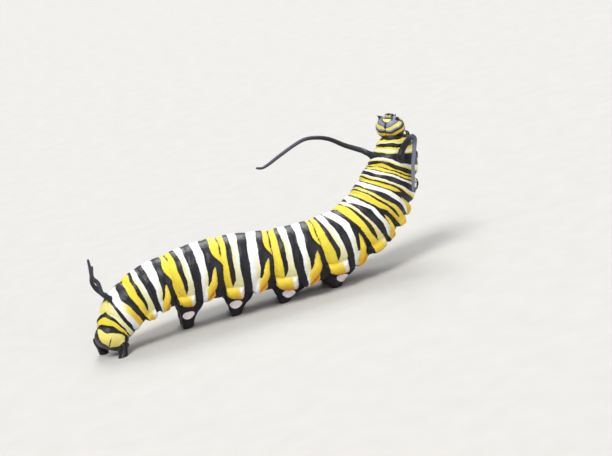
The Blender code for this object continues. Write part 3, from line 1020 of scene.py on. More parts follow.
        # Painted crease shade: orange strongest at the crease over the small fold
        tint = self.small_tint[0] + self.small_tint[1] * bell(folds.crease, self.small_crease_shade_half)
        return deep + np.where(folds.small > 0.0, tint, 0.0)

    def straight_ring(self, ring: Ring, x: Array, side: Array) -> Shades:
        """Return the shades of a ring whose bands run straight down.

        Args:
            ring: The ring.
            x: Distances from its rear edge.
            side: Angles from the back, without their sign.

        Returns:
            The shades.
        """
        dark, gold = (
            most(*(inside(x, low, high) for low, high in band_edges(bands, side, TURNS, ring.length)))
            for bands in (ring.dark, ring.gold)
        )
        gold = smooth_step(gold, *self.blur_run)
        deep = gold * self.straight_tint * smooth_step(-np.abs(x - ring.length), *self.straight_run)
        return np.maximum(dark, -1.0), gold, deep, np.full(len(x), self.straight_straw)

    def tail_end(self, where: Array, turn: Array) -> Shades:
        """Return the shades of the last three rings and the plate at their end.

        Args:
            where: Distances from the tail.
            turn: Angles from the back.

        Returns:
            The shades.
        """
        side = np.abs(turn)
        bands = band_edges(TAIL_DARK, side, TAIL_TURNS)
        (low1, _), (low2, high2), (low3, high3), (low4, high4) = bands
        across = np.radians(np.abs(turn - self.plate_turn)) * self.axis.girth(where)[1]
        part = (self.plate_middle - where) / self.plate_reach
        half = self.plate_half * np.sqrt(np.clip(1.0 - part * part, 0.0, 1.0))
        outside = np.where(where < low1 + self.plate_lap, across - half, -1.0)
        narrow, end = self.plate_line_ends
        line = np.minimum(self.plate_line * (narrow - where) - across, end - where)
        black = most(outside, line, *(inside(where, low, high) for low, high in bands))
        gold = smooth_step((low2 + high2) / 2 - where, *self.blur_run)
        gold = gold * (self.plate_gold[0] + self.plate_gold[1] * (where > low1 + self.plate_lap))
        gold = np.maximum(gold, smooth_step(where - (low4 + high4) / 2, *self.blur_run))
        late = smooth_step(where - (high3 + low4) / 2, *self.tail_late_run)
        late = late * smooth_step(side, *self.tail_late_turns)
        gold = np.maximum(gold, late * (where > high3))
        pale = (where > high2) * (where < low3)
        straw = pale * self.tail_straw + (where < low1) * self.plate_straw
        gold = np.maximum(gold, pale * self.tail_gold * (1.0 - smooth_step(side, *self.tail_gold_turns)))
        return np.maximum(black, -1.0), gold, smooth_step(side, *self.tail_turns) * self.tail_tint, straw

    def read(self, where: Array, turn: Array) -> dict[str, Array]:
        """Return every field of the skin's colour.

        Args:
            where: Distances from the tail.
            turn: Angles from the back.

        Returns:
            One array for each field, by name.
        """
        side, spot = np.abs(turn), where
        for size, round_by, along in self.waves:
            spot = spot + size * np.sin(turn / round_by + where * along)
        ink = np.full(len(where), -1.0)
        gold, deep, straw = np.zeros((3, len(where)))
        tail = spot < self.axis.edges[self.tail_rings] + self.tail_lap
        ink[tail], gold[tail], deep[tail], straw[tail] = self.tail_end(spot[tail], turn[tail])
        last = len(RINGS) - 1
        for number, ring in enumerate(RINGS):
            if ring.flank is Flank.TAIL:
                continue
            start = self.axis.edges[number]
            reach = ring.length * (self.neck_past if number == last else self.past)
            near = (spot > start - self.before - ring.slip) & (spot < start + reach)
            x, level = spot[near] - start, side[near]
            if ring.flank is Flank.HOOKED:
                black, *shades = self.hooked_ring(ring, x, level, RINGS[number + 1].slip)
                own = (x > -ring.slip * smooth_step(level, *self.slip_turns)) & (x < ring.length)
            else:
                black, *shades = self.straight_ring(ring, x, level)
                own = (x > 0.0) & ((x < ring.length) | (number == last))
                black = np.where(own, black, -1.0)
            ink[near] = np.maximum(ink[near], black)
            for held, shade in zip((gold, deep, straw), shades):
                held[near] = np.where(own, shade, held[near])
            if ring.seam > 0.0:
                whole, part, beat = self.seam_breaks
                broken = whole + part * np.sin(level * beat + number)
                ending = 1.0 - smooth_step(level, ring.seam - self.seam_fade, ring.seam)
                ink[near] = np.maximum(ink[near], self.seam_half * ending * broken - np.abs(x))
        ink = np.maximum(ink, (side - self.belly_turn) * self.degree)
        base, more = self.fringe_tint
        fringe = smooth_step(ink, *self.fringe_run) * (base + more * smooth_step(side, *self.fringe_turns))
        deep = np.maximum(deep, fringe) * gold
        return {"ink": ink, "gold": gold, "deep": np.clip(deep, 0.0, 1.0), "straw": np.clip(straw, 0.0, 1.0)}


@dataclass
class Skin:
    """The soft skin: body rings and fleshy legs in one mesh, with folds, creases and bands.

    A crease or a swelling is given by how deep or high it is, where it lies and its half
    width, and creases across a ring by their places as parts of its length. hook_crease is
    its depth, its half width and how far outside the hook it still runs.
    """

    axis: BodyAxis
    feet: list[Foot]
    grain: float = 0.115
    around: int = 72
    ring_gap: float = 0.25
    tail_stops: tuple[float, ...] = (0.02, 0.06, 0.12, 0.2, 0.3, 0.42)
    body_from: float = 0.55
    # The fleshy legs, from their roots inside the body to the pads, and the spots on them
    foot_round: int = 28
    foot_rows: int = 14
    foot_behind: float = 0.38
    foot_first: float = 0.06
    foot_roots: Pair = (-0.9, -0.1)
    foot_root: float = 0.8
    foot_oval: float = 0.92
    foot_pull: tuple[Pair, ...] = (
        (0.0, 0.0), (0.20, 0.24), (0.42, 0.56), (0.64, 0.84), (0.84, 0.95), (0.94, 1.0), (1.0, 1.12))
    foot_pinches: tuple[Triple, ...] = ((0.09, 0.40, 0.07), (0.07, 0.80, 0.06))
    cut: float = 0.30
    dot_feel: float = 0.15
    dot_rise: float = 0.75
    dot_half: Pair = (0.66, 0.44)
    dot_deep: float = 0.7
    dot_soft: float = 0.6
    # The relief. The crease between two rings gets shallower by the first of
    # ring_crease_less, over the angles that follow
    ripple: float = 0.022
    ripple_waves: tuple[Pair, Pair] = ((23.0, 2.1), (11.0, -0.7))
    ring_crease: Pair = (0.10, 0.13)
    ring_crease_less: Triple = (0.5, 120.0, 150.0)
    hooked_creases: tuple[float, ...] = (0.18, 0.36, 0.54, 0.72, 0.90)
    hooked_crease: Pair = (0.035, 0.13)
    plain_creases: tuple[float, ...] = (0.33, 0.7)
    plain_crease: Pair = (0.04, 0.12)
    plain_from: int = 2
    plain_fold: Triple = (0.16, 118.0, 14.0)
    plain_fold_in: Pair = (0.02, 0.2)
    plain_fold_out: Pair = (-0.98, -0.80)
    near_ring: Pair = (1.0, 0.3)
    rear_swell: Pair = (0.56, 0.62)
    hook_swell: Pair = (0.40, 0.42)
    hook_swell_turns: Pair = (8.0, 34.0)
    small_swell: Pair = (0.34, 0.28)
    rear_crease: Triple = (0.10, 0.10, 0.10)
    hook_crease: Triple = (0.10, 0.09, -0.3)
    hollow: Triple = (0.16, 1.0, 0.11)
    hollow_side: Pair = (96.0, 20.0)
    # How the remeshed skin is set back on the plain tube, and smoothed where the legs join it
    body_excess: float = 0.03
    body_ends: Pair = (0.4, 0.1)
    fillet: Triple = (-0.05, 0.02, 0.6)
    tail_fillet: float = 0.5
    leg_excess: float = 0.25
    leg_relax: float = 0.35
    relax_rounds: int = 6
    join_excess: float = 0.28
    join_from: float = 0.9
    join_relax: float = 0.6
    join_rounds: int = 14
    cover_excess: Pair = (0.03, 0.30)
    cover_tail: Pair = (0.2, 1.0)
    cover_neck: Pair = (0.2, 0.3)
    lift_from: float = 0.1
    black_leg: Pair = (0.06, 0.14)

    def foot_rings(self, foot: Foot) -> list[Array]:
        """Return a leg's rings, from inside the body to the flat pad.

        Args:
            foot: The leg.

        Returns:
            The rings.
        """
        a = circle(self.foot_round)
        reach = foot.long * (1.0 + self.foot_behind * (foot.dot is not None) * (np.cos(a) < 0.0))
        along = np.maximum(foot.along + reach * np.cos(a), self.foot_first)
        turn = foot.turn + foot.span * np.sin(a)
        base = self.axis.off_skin(along, turn, self.cut)
        ahead = unit(self.axis.heading(foot.along) * (1.0, 1.0, 0.0))
        side = np.array([ahead[1], -ahead[0], 0.0])
        sole = np.array([foot.pad_x, foot.pad_y, 0.0]) + foot.pad * (
            np.cos(a)[:, None] * ahead - self.foot_oval * np.sin(a)[:, None] * side)
        inner, outer = (self.axis.off_skin(along, turn, lift) for lift in self.foot_roots)
        rings = [inner.mean(0) + (inner - inner.mean(0)) * self.foot_root, outer]
        for t in np.linspace(0.0, 1.0, self.foot_rows):
            ring = base + (sole - base) * hermite(*zip(*self.foot_pull), np.array([t]))[0]
            ring[:, 2] = base[:, 2] * (1.0 - t)
            pinch = 1.0
            for depth, mark, half in self.foot_pinches:
                pinch = pinch - depth * bell(t - mark, half)
            middle = ring.mean(0)
            ring[:, :2] = middle[:2] + (ring[:, :2] - middle[:2]) * pinch
            rings.append(ring)
        return rings

    def fused(self) -> tuple[Array, Array]:
        """Join the body tube and the legs into one even mesh.

        Returns:
            Its corners and its four-sided faces.
        """
        end = self.axis.edges[-1] + self.axis.plug
        stops = np.concatenate([self.tail_stops, np.arange(self.body_from, end, self.ring_gap), [end]])
        turns = np.arange(self.around) * 360.0 / self.around - 180.0
        forms = [closed_rings([self.axis.skin(np.full(self.around, stop), turns) for stop in stops])]
        forms += [closed_rings(self.foot_rings(foot)) for foot in self.feet]
        (points, faces), _ = join_forms(forms)
        data = bpy.data.meshes.new("raw_skin")
        data.from_pydata(points.tolist(), [], faces)
        raw = bpy.data.objects.new("raw_skin", data)
        bpy.context.scene.collection.objects.link(raw)
        step = raw.modifiers.new("fuse", "REMESH")
        step.mode = "VOXEL"
        step.voxel_size = self.grain
        shape = raw.evaluated_get(bpy.context.evaluated_depsgraph_get()).to_mesh()
        corners = np.empty(len(shape.vertices) * 3)
        shape.vertices.foreach_get("co", corners)
        loops = np.empty(len(shape.loops), np.int32)
        shape.loops.foreach_get("vertex_index", loops)
        bpy.data.objects.remove(raw)
        return corners.reshape(-1, 3), loops.reshape(-1, 4)

    def relief(self, where: Array, turn: Array) -> Array:
        """Return how far folds and creases lift the skin, in millimetres.

        Args:
            where: Distances from the tail.
            turn: Angles from the back.

        Returns:
            The lift at each place.
        """
        side = np.abs(turn)
        (round1, along1), (round2, along2) = self.ripple_waves
        lift = self.ripple * np.sin(where * along1 + turn / round1) * np.sin(turn / round2 + where * along2)
        depth, half = self.ring_crease
        less, low, high = self.ring_crease_less
        for number, ring in enumerate(RINGS):
            x = where - self.axis.edges[number]
            if number:
                lift = lift - depth * bell(x, half) * (1.0 - less * smooth_step(side, low, high))
            if ring.flank is Flank.HOOKED:
                deep, wide = self.hooked_crease
                for place in self.hooked_creases:
                    lift = lift - deep * bell(x - place * ring.length, wide)
                near = (x > -self.near_ring[0]) & (x < ring.length + self.near_ring[1])
                lift[near] += self.fold_lift(ring, x[near], side[near])
            elif number >= self.plain_from:
                u = x / ring.length
                fold = smooth_step(u, *self.plain_fold_in) * smooth_step(-u, *self.plain_fold_out)
                rise, level, span = self.plain_fold
                lift = lift + rise * fold * bell(side - level, span)
                deep, wide = self.plain_crease
                for place in self.plain_creases:
                    lift = lift - deep * bell(x - place * ring.length, wide)
        return lift

    def fold_lift(self, ring: Ring, x: Array, side: Array) -> Array:
        """Return how far a ring's hook and folds lift the skin, in millimetres.

        Args:
            ring: The ring.
            x: Distances from its rear edge.
            side: Angles from the back, without their sign.

        Returns:
            The lift at each place.
        """
        folds = Markings(self.axis).folds(ring, x, side)
        low = smooth_step(side - ring.hook[1], *self.hook_swell_turns)
        rear, hook, small = (
            high * self.round_up(depth, reach)
            for depth, (high, reach) in zip((folds.rear, folds.hook, folds.small),
                                            (self.rear_swell, self.hook_swell, self.small_swell))
        )
        swell = rear + hook * low + small
        depth, shift, half = self.rear_crease
        swell = swell - depth * bell(folds.rear + shift, half)
        depth, half, least_hook = self.hook_crease
        swell = swell - depth * bell(folds.crease, half) * low * (folds.hook > least_hook)
        depth, mark, half = self.hollow
        level, span = self.hollow_side
        return swell - depth * bell(x / ring.length - mark, half) * bell(side - level, span)

    @staticmethod
    def round_up(depth: Array, reach: float) -> Array:
        """Return a rounded rise from 0 at a fold's edge to 1 at the given depth."""
        part = 1.0 - np.clip(depth / reach, 0.0, 1.0)
        return np.sqrt(1.0 - part * part)

    def stand_off(self, points: Array, where: Array, turn: Array) -> Array:
        """Return how far points are outside the plain tube, in millimetres.

        Args:
            points: Rows of points.
            where: Their distances from the tail.
            turn: Their angles from the back.

        Returns:
            One distance for each point.
        """
        middle = self.axis.centre(where)
        reach = np.linalg.norm(self.axis.skin(np.maximum(where, 0.0), turn) - middle, axis=1)
        return np.linalg.norm(points - middle, axis=1) - reach

    def dots(self, points: Array) -> Array:
        """Return the pale spot on each leg's outer face, as a distance in millimetres into it.

        Args:
            points: The skin's corners.

        Returns:
            One number for each corner.
        """
        found = np.full(len(points), -1.0)
        for foot in self.feet:
            if foot.dot is None:
                continue
            rings = self.foot_rings(foot)[-self.foot_rows:]
            outer = self.foot_round * 3 // 4 if foot.turn > 0 else self.foot_round // 4
            down, forward = foot.dot
            near = np.array([down - self.dot_feel, down, down + self.dot_feel])
            line = np.array([ring[outer] for ring in rings])
            above, middle, below = hermite(np.linspace(0.0, 1.0, self.foot_rows), line, near)
            up, ahead = unit(above - below), self.axis.heading(foot.along)
            out = unit(np.cross(up, ahead))
            out = out * np.sign(np.dot(out, middle - rings[self.foot_rows // 2].mean(0)))
            away = points - (middle + ahead * forward)
            rising, falling = unit(ahead + up * self.dot_rise), unit(up - ahead * self.dot_rise)
            reach = np.hypot(away @ rising / self.dot_half[0], away @ falling / self.dot_half[1])
            here = np.abs(away @ out) < self.dot_deep
            found = np.maximum(found, np.where(here, (1.0 - reach) * self.dot_soft, -1.0))
        return found

    def build(self, material: Material) -> Piece:
        """Make the skin piece.

        Args:
            material: Its finish.

        Returns:
            The skin.
        """
        points, faces = self.fused()
        quads = np.concatenate([faces[:, [0, 1]], faces[:, [1, 2]], faces[:, [2, 3]], faces[:, [3, 0]]])
        edges = np.unique(np.sort(quads, 1), axis=0)
        end = self.axis.edges[-1]
        where, turn = self.axis.locate(points)
        excess = self.stand_off(points, where, turn)
        first, last = self.body_ends
        body = (excess < self.body_excess) & (where > first) & (where < end + self.axis.plug - last)
        points = np.where(body[:, None], self.axis.skin(where, turn), points)
        low, high, amount = self.fillet
        fillet = np.where(where < first, self.tail_fillet, smooth_step(excess, low, high) * amount)
        weight = np.where(excess > self.leg_excess, self.leg_relax, fillet)
        points = relax(points, edges, weight, self.relax_rounds)
        join = (excess > 0.0) & (excess < self.join_excess) & (where > self.join_from)
        points = relax(points, edges, np.where(join, self.join_relax, 0.0), self.join_rounds)
        where, turn = self.axis.locate(points)
        excess = self.stand_off(points, where, turn)
        past, before = self.cover_neck
        cover = 1.0 - smooth_step(excess, *self.cover_excess)
        cover *= smooth_step(where, *self.cover_tail) * smooth_step(-where, -(end + past), -(end - before))
        lift = (self.relief(where, turn) * cover)[:, None]
        points = points + self.axis.normal(np.maximum(where, self.lift_from), turn) * lift
        points[:, 2] = np.maximum(points[:, 2], 0.0)
        fields = Markings(self.axis).read(where, turn)
        fields["ink"] = np.maximum(fields["ink"], smooth_step(excess, *self.black_leg) * 2.0 - 1.0)
        fields["dot"] = self.dots(points)
        nodes = (*(ring.name for ring in RINGS), *(foot.node for foot in self.feet))
        return make_piece("skin", (points, faces), [material], nodes, fields)


@dataclass(frozen=True)
class Cuticle:
    """Larva cuticle, a thin waxy skin over soft flesh: satin, a little light passes into it."""

    white: str = "#EFEFEC"
    straw: str = "#E7DC8A"
    yellow: str = "#EBD83C"
    # Orange, the skin's own, and also laid in creases as painted shade
    orange: str = "#E38A16"
    black: str = "#17131A"
    dot: str = "#F0E6E6"
    ragged: float = 0.35
    wobble: float = 0.065
    edge: float = 0.03
    cloud: float = 1.1
    cloud_span: Pair = (0.35, 0.75)
    cloud_dim: float = 0.86
    dent: tuple[float, ...] = (0.40, 3.0, 0.7, 0.07)
    # Drawn coarser than the real grain is likely to be, so that it shows
    grain: tuple[float, ...] = (0.09, 3.0, 0.5, 0.02)
    rough: Pair = (0.50, 0.36)

    def make(self) -> Material:
        """Make the material, coloured by the skin's own fields.

        Returns:
            The material.
        """
        made, tree, shader, place = new_material("larva_cuticle_satin")
        fields = read_fields(tree, "ink", "gold", "deep", "straw", "dot")
        marks = {name: fields[name] for name in ("ink", "dot")}
        masks = ragged_masks(tree, place, marks, self.ragged, self.wobble, self.edge)
        links = {}
        # The deep field carries the skin's own orange and the painted crease shade
        for name, tone in (("straw", self.straw), ("gold", self.yellow), ("deep", self.orange)):
            layer = add_node(tree, "ShaderNodeMix", {MIX_UNDER: linear(self.white), MIX_OVER: linear(tone)},
                             {MIX_FACTOR: fields[name], **links}, data_type="RGBA")
            links = {MIX_UNDER: layer.outputs[MIX_RESULT]}
        low, high = self.cloud_span
        cloud = add_node(tree, "ShaderNodeTexNoise", {"Scale": per_mm(self.cloud), "Detail": 4.0},
                         {"Vector": place})
        dim = add_node(tree, "ShaderNodeMapRange",
                       {"From Min": low, "From Max": high, "To Min": 1.0, "To Max": self.cloud_dim},
                       {"Value": cloud.outputs["Fac"]})
        colour = add_node(tree, "ShaderNodeVectorMath", links={0: links[MIX_UNDER], "Scale": dim.outputs[0]},
                          operation="SCALE").outputs[0]
        for name, tone in (("ink", self.black), ("dot", self.dot)):
            layer = add_node(tree, "ShaderNodeMix", {MIX_OVER: linear(tone)},
                             {MIX_FACTOR: masks[name], MIX_UNDER: colour}, data_type="RGBA")
            colour = layer.outputs[MIX_RESULT]
        normal = pitted(tree, place, *self.grain, pitted(tree, place, *self.dent))
        rough = add_node(tree, "ShaderNodeMapRange", {"To Min": self.rough[0], "To Max": self.rough[1]},
                         {"Value": masks["ink"]})
        settle(shader, {"IOR": 1.38, "Subsurface Weight": 0.06, "Subsurface Radius": (0.5, 0.35, 0.2),
                        "Subsurface Scale": 0.4 * MM, "Sheen Weight": 0.06, "Sheen Roughness": 0.45},
               {"Base Color": colour, "Normal": normal, "Roughness": rough.outputs[0]})
        return made


@dataclass(frozen=True)
class HornSkin:
    """Horn cuticle, leathery and finely wrinkled: dull black with a cool soft sheen, grey in random patches
    and with a painted sheen of sky light towards the tip.
    """

    base: str = "#0D0C10"
    # Grey of the random patches, and of the painted sheen of sky light that the horn's grey field lays on
    mottle_and_painted_sheen: str = "#7C7F93"
    sheen: str = "#B9C0DC"
    patch: float = 0.9
    patch_tint: float = 0.07
    # Drawn coarser than the real wrinkles are likely to be, so that they show
    grain: tuple[float, ...] = (0.07, 4.0, 0.6, 0.025)

    def make(self) -> Material:
        """Make the material, greyer in random patches and where the horn's own field lays a painted sheen of
        sky light.

        Returns:
            The material.
        """
        made, tree, shader, place = new_material("horn_cuticle_wrinkled")
        broad = add_node(tree, "ShaderNodeTexNoise", {"Scale": per_mm(self.patch), "Detail": 3.0},
                         {"Vector": place})
        # The grey field is a painted sheen of sky light, added to the random patches
        grey = read_fields(tree, "grey")["grey"]
        amount = add_node(tree, "ShaderNodeMath", {1: self.patch_tint}, {0: broad.outputs["Fac"], 2: grey},
                          operation="MULTIPLY_ADD")
        layer = add_node(tree, "ShaderNodeMix", {MIX_UNDER: linear(self.base), MIX_OVER: linear(self.mottle_and_painted_sheen)},
                         {MIX_FACTOR: amount.outputs[0]}, data_type="RGBA")
        settle(shader, {"Roughness": 0.45, "IOR": 1.42, "Sheen Weight": 0.12, "Sheen Roughness": 0.4,
                        "Sheen Tint": linear(self.sheen)},
               {"Base Color": layer.outputs[MIX_RESULT], "Normal": pitted(tree, place, *self.grain)})
        return made


@dataclass(frozen=True)
class Shell:
    """Hardened cuticle, smooth and tanned nearly black: glossy like lacquered horn."""

    name: str
    colour: str
    rough: float
    tone: float = 0.5
    dark: Triple = (0.7, 0.7, 0.7)
    light: Triple = (1.5, 1.45, 1.4)
    # Drawn coarser than the real pits are likely to be, so that they show
    pits: tuple[float, ...] = (0.12, 2.0, 0.35, 0.015)

    def make(self) -> Material:
        """Make the material, in two tones of its colour.

        Returns:
            The material.
        """
        made, tree, shader, place = new_material(self.name)
        tone = add_node(tree, "ShaderNodeTexNoise", {"Scale": per_mm(self.tone), "Detail": 3.0},
                        {"Vector": place})
        ramp = add_node(tree, "ShaderNodeValToRGB", links={"Fac": tone.outputs["Fac"]})
        base = linear(self.colour)
        set_ramp(ramp, *((*(part * gain for part, gain in zip(base, gains)), 1.0)
                         for gains in (self.dark, self.light)))
        settle(shader, {"Roughness": self.rough, "IOR": 1.54},
               {"Base Color": ramp.outputs[0], "Normal": pitted(tree, place, *self.pits)})
        return made


@dataclass(frozen=True)
class HeadShell:
    """Head cuticle, hardened and smooth: glossy, with arches of pale yellow on black."""

    pale: str = "#E4DF84"
    yellow: str = "#E3BE2C"
    black: str = "#0C0B0E"
    grey: str = "#80859A"
    ragged: float = 0.2
    wobble: float = 0.02
    edge: float = 0.02
    # Drawn coarser than the real pits are likely to be, so that they show
    pits: tuple[float, ...] = (0.06, 2.0, 0.3, 0.012)

    def make(self) -> Material:
        """Make the material, coloured by the capsule's own fields.

        Returns:
            The material.
        """
        made, tree, shader, place = new_material("head_cuticle_glossy")
        fields = read_fields(tree, "ink", "gold", "grey")
        masks = ragged_masks(tree, place, {"ink": fields["ink"]}, self.ragged, self.wobble, self.edge)
        light, dark = (
            add_node(tree, "ShaderNodeMix", {MIX_UNDER: linear(under), MIX_OVER: linear(over)},
                     {MIX_FACTOR: fields[name]}, data_type="RGBA").outputs[MIX_RESULT]
            for under, over, name in ((self.pale, self.yellow, "gold"), (self.black, self.grey, "grey"))
        )
        links = {MIX_FACTOR: masks["ink"], MIX_UNDER: light, MIX_OVER: dark}
        layer = add_node(tree, "ShaderNodeMix", links=links, data_type="RGBA")
        settle(shader, {"Roughness": 0.33, "IOR": 1.52, "Coat Weight": 0.2, "Coat Roughness": 0.2},
               {"Base Color": layer.outputs[MIX_RESULT], "Normal": pitted(tree, place, *self.pits)})
        return made


@dataclass(frozen=True)
class Horn:
    """One fleshy horn: the nodes it stands for, its root on the body, its course and radii.

    It is dull black at its root, and from the part of its length named fade on it is greyer,
    by the amount named pale: a painted sheen of sky light, not the horn's own colour.
    """

    name: str
    nodes: tuple[str, ...]
    root: Pair
    points: tuple[Triple, ...]
    radii: tuple[float, ...]
    fade: float
    pale: float


HORNS = (
    Horn("horn_front_left", ("filament_front_left_base", "filament_front_left_tip"), (40.6, -58.0),
         ((13.40, 4.43, 12.3), (11.80, 5.03, 13.2), (10.40, 5.43, 14.2), (9.20, 5.53, 14.7),
          (7.80, 5.53, 14.9), (6.50, 5.43, 14.6), (4.60, 5.23, 13.9), (2.60, 4.83, 13.2),
          (1.80, 4.63, 13.4)),
         (0.33, 0.30, 0.26, 0.23, 0.21, 0.20, 0.19, 0.13), 0.55, 0.24),
    Horn("horn_front_right", ("filament_front_right_base", "filament_front_right_tip"), (40.6, 38.0),
         ((17.47, 1.20, 11.88), (17.86, 1.17, 12.32), (18.28, 1.13, 12.74), (18.82, 1.07, 13.08),
          (19.02, 1.03, 12.82), (18.92, 1.03, 12.3), (18.70, 0.93, 11.6), (18.20, 0.83, 10.1),
          (17.85, 0.63, 8.7), (17.50, 0.53, 7.4)),
         (0.40, 0.37, 0.33, 0.27, 0.21, 0.20, 0.19, 0.12), 0.42, 0.85),
    Horn("horn_rear_right", ("filament_rear_right",), (4.3, 14.0),
         ((-17.40, -4.37, 7.1), (-17.70, -4.37, 8), (-17.50, -4.47, 8.9), (-17.40, -4.47, 10.6)),
         (0.30, 0.26, 0.23, 0.21, 0.12), 0.6, 0.15),
    Horn("horn_rear_left", ("filament_rear_left",), (4.45, -18.0),
         ((-17.40, -1.97, 7.2), (-17.80, -1.77, 7.9), (-17.50, -1.67, 9.1)),
         (0.30, 0.26, 0.22, 0.12), 0.6, 0.15),
)


@dataclass
class Horns:
    """The two pairs of long soft horns, each one wrinkled tube with its root in the skin."""

    axis: BodyAxis
    around: int = 24
    gap: float = 0.05
    lifts: Triple = (-0.45, 0.0, 0.55)
    flare: float = 0.35
    flare_run: Pair = (0.2, 0.9)
    tip_long: float = 1.6
    tip_least: float = 0.01
    wrinkle: float = 0.17
    wrinkle_bend: Triple = (0.35, 2.0, 1.7)
    wrinkle_drift: tuple[Triple, ...] = ((0.5, 1.9, 0.0), (0.4, 4.7, 1.0))
    wrinkle_depth: Pair = (0.12, 0.06)
    wrinkle_from: Pair = (0.0, 0.5)
    wrinkle_sharp: int = 6
    lumps: Triple = (0.03, 3.0, 0.8)
    fade_half: float = 0.12

    def one(self, horn: Horn, material: Material) -> Piece:
        """Make one horn.

        Args:
            horn: Its course and sizes.
            material: Its finish.

        Returns:
            The horn.
        """
        along, turn = np.array(horn.root)[:, None]
        root = [self.axis.off_skin(along, turn, lift)[0] for lift in self.lifts]
        places, t = along_curve(np.concatenate([root, horn.points]), self.gap)
        far = run_length(places)
        radii = np.interp(t, np.linspace(0.0, 1.0, len(horn.radii)), horn.radii)
        radii = radii * (1.0 + self.flare * (1.0 - smooth_step(far, *self.flare_run)))
        tip = np.clip((far[-1] - far) / (radii[-1] * self.tip_long), 0.0, 1.0)
        radii = radii * np.sqrt(np.maximum(1.0 - (1.0 - tip) ** 2, self.tip_least))
        angle, run = circle(self.around), far[:, None]
        amount, fold, twist = self.wrinkle_bend
        phase = run / self.wrinkle + amount * np.sin(fold * angle + run * twist)
        drift = sum(amount * np.sin(run * beat + start) for amount, beat, start in self.wrinkle_drift)
        depth = self.wrinkle_depth[0] - self.wrinkle_depth[1] * smooth_step(t, *self.wrinkle_from)
        ripple = -depth[:, None] * np.abs(np.sin(np.pi * (phase + drift))) ** self.wrinkle_sharp
        amount, fold, twist = self.lumps
        ripple = ripple + amount * np.sin(fold * angle + run * twist)
        points, faces = closed_rings(sweep(places, radii, self.around, ripple))
        # The grey towards the tip is a painted sheen of sky light
        grey = smooth_step(t, horn.fade - self.fade_half, horn.fade + self.fade_half) * horn.pale
        grey = np.resize(np.repeat(grey, self.around), len(points))
        return make_piece(horn.name, (points, faces), [material], horn.nodes, {"grey": grey})

    def build(self, material: Material) -> list[Piece]:
        """Make every horn."""
        return [self.one(horn, material) for horn in HORNS]


@dataclass
class Legs:
    """The three pairs of jointed legs under the raised fore body, each with its claw.

    A row is a leg's node, the number of its ring, its place along it, its angle from the back
    and its length. course is the line of a leg, out from the body, ahead and outwards, and
    joints are its radii from root to tip. Its claw starts at the place that is claw_from from
    its end.
    """

    axis: BodyAxis
    around: int = 20
    gap: float = 0.035
    lift: float = 0.35
    longest: float = 2.1
    rows: tuple[tuple[str, int, float, float, float], ...] = (
        ("leg_3", 10, 0.55, 152.0, 2.1),
        ("leg_2", 11, 0.50, 150.0, 1.9),
        ("leg_1", 12, 0.40, 148.0, 1.25),
    )
    course: tuple[Triple, ...] = (
        (-0.22, 0.0, 0.0), (0.0, 0.0, 0.0), (0.24, 0.18, 0.02), (0.36, 0.44, 0.12), (0.37, 0.65, 0.27))
    joints: tuple[Pair, ...] = (
        (0.0, 0.50), (0.22, 0.49), (0.36, 0.40), (0.40, 0.34), (0.44, 0.37), (0.58, 0.33), (0.63, 0.26),
        (0.67, 0.29), (0.80, 0.24), (0.84, 0.18), (0.88, 0.20), (0.96, 0.15), (1.0, 0.07))
    claw_from: int = 3
    claw_long: float = 0.26
    claw_bend: Pair = (0.16, 0.05)
    claw_radii: Pair = (0.075, 0.008)
    claw_rows: int = 8
    claw_round: int = 10

    def one(self, row: tuple[str, int, float, float, float], side: str, sign: float,
            materials: list[Material]) -> Piece:
        """Make one leg with its claw.

        Args:
            row: The leg's row.
            side: The name of its side.
            sign: 1 on the right, -1 on the left.
            materials: The finishes of the leg and of the claw.

        Returns:
            The leg.
        """
        name, ring, part, turn, long = row
        where = np.array([self.axis.edges[ring] + RINGS[ring].length * part])
        ahead, _, left = (line[0] for line in self.axis.axes(where))
        base = self.axis.off_skin(where, np.array([turn * sign]), self.lift)[0]
        out = unit(base - self.axis.centre(where)[0])
        points = [base + (out * a + ahead * b + left * sign * c) * long for a, b, c in self.course]
        places, t = along_curve(points, self.gap)
        radii = np.interp(t, *zip(*self.joints)) * (long / self.longest) ** 0.5
        tip = unit(places[-1] - places[-1 - self.claw_from])
        aside, back = self.claw_bend
        bend = left * sign * aside - out * back
        steps = np.linspace(0.0, 1.0, self.claw_rows)
        start = places[-self.claw_from]
        hook = [start + tip * self.claw_long * q + bend * q * q for q in steps]
        claw = sweep(np.array(hook), np.linspace(*self.claw_radii, self.claw_rows), self.claw_round)
        form, picks = join_forms([closed_rings(sweep(places, radii, self.around)), closed_rings(claw)])
        node = f"{name}_{side}"
        return make_piece(f"{node}_shell", form, materials, (node,), picks=picks)

    def build(self, materials: list[Material]) -> list[Piece]:
        """Make all six legs."""
        sides = (("right", 1.0), ("left", -1.0))
        return [self.one(row, side, sign, materials) for row in self.rows for side, sign in sides]


@dataclass(frozen=True)
class Bud:
    """A rounded form on the head: its middle and half sizes, to the left, crown and face.

    Its corners are squarer where square is less than one, notch is how deep its free edge is
    notched in the middle, and pick is the number of its finish.
    """

    middle: Triple
    half: Triple
    square: float = 1.0
    notch: float = 0.0
    pick: int = 0


def powered(values: Array, power: float) -> Array:
    """Return the values with their sizes raised to a power and their signs kept."""
    return np.sign(values) * np.abs(values) ** power


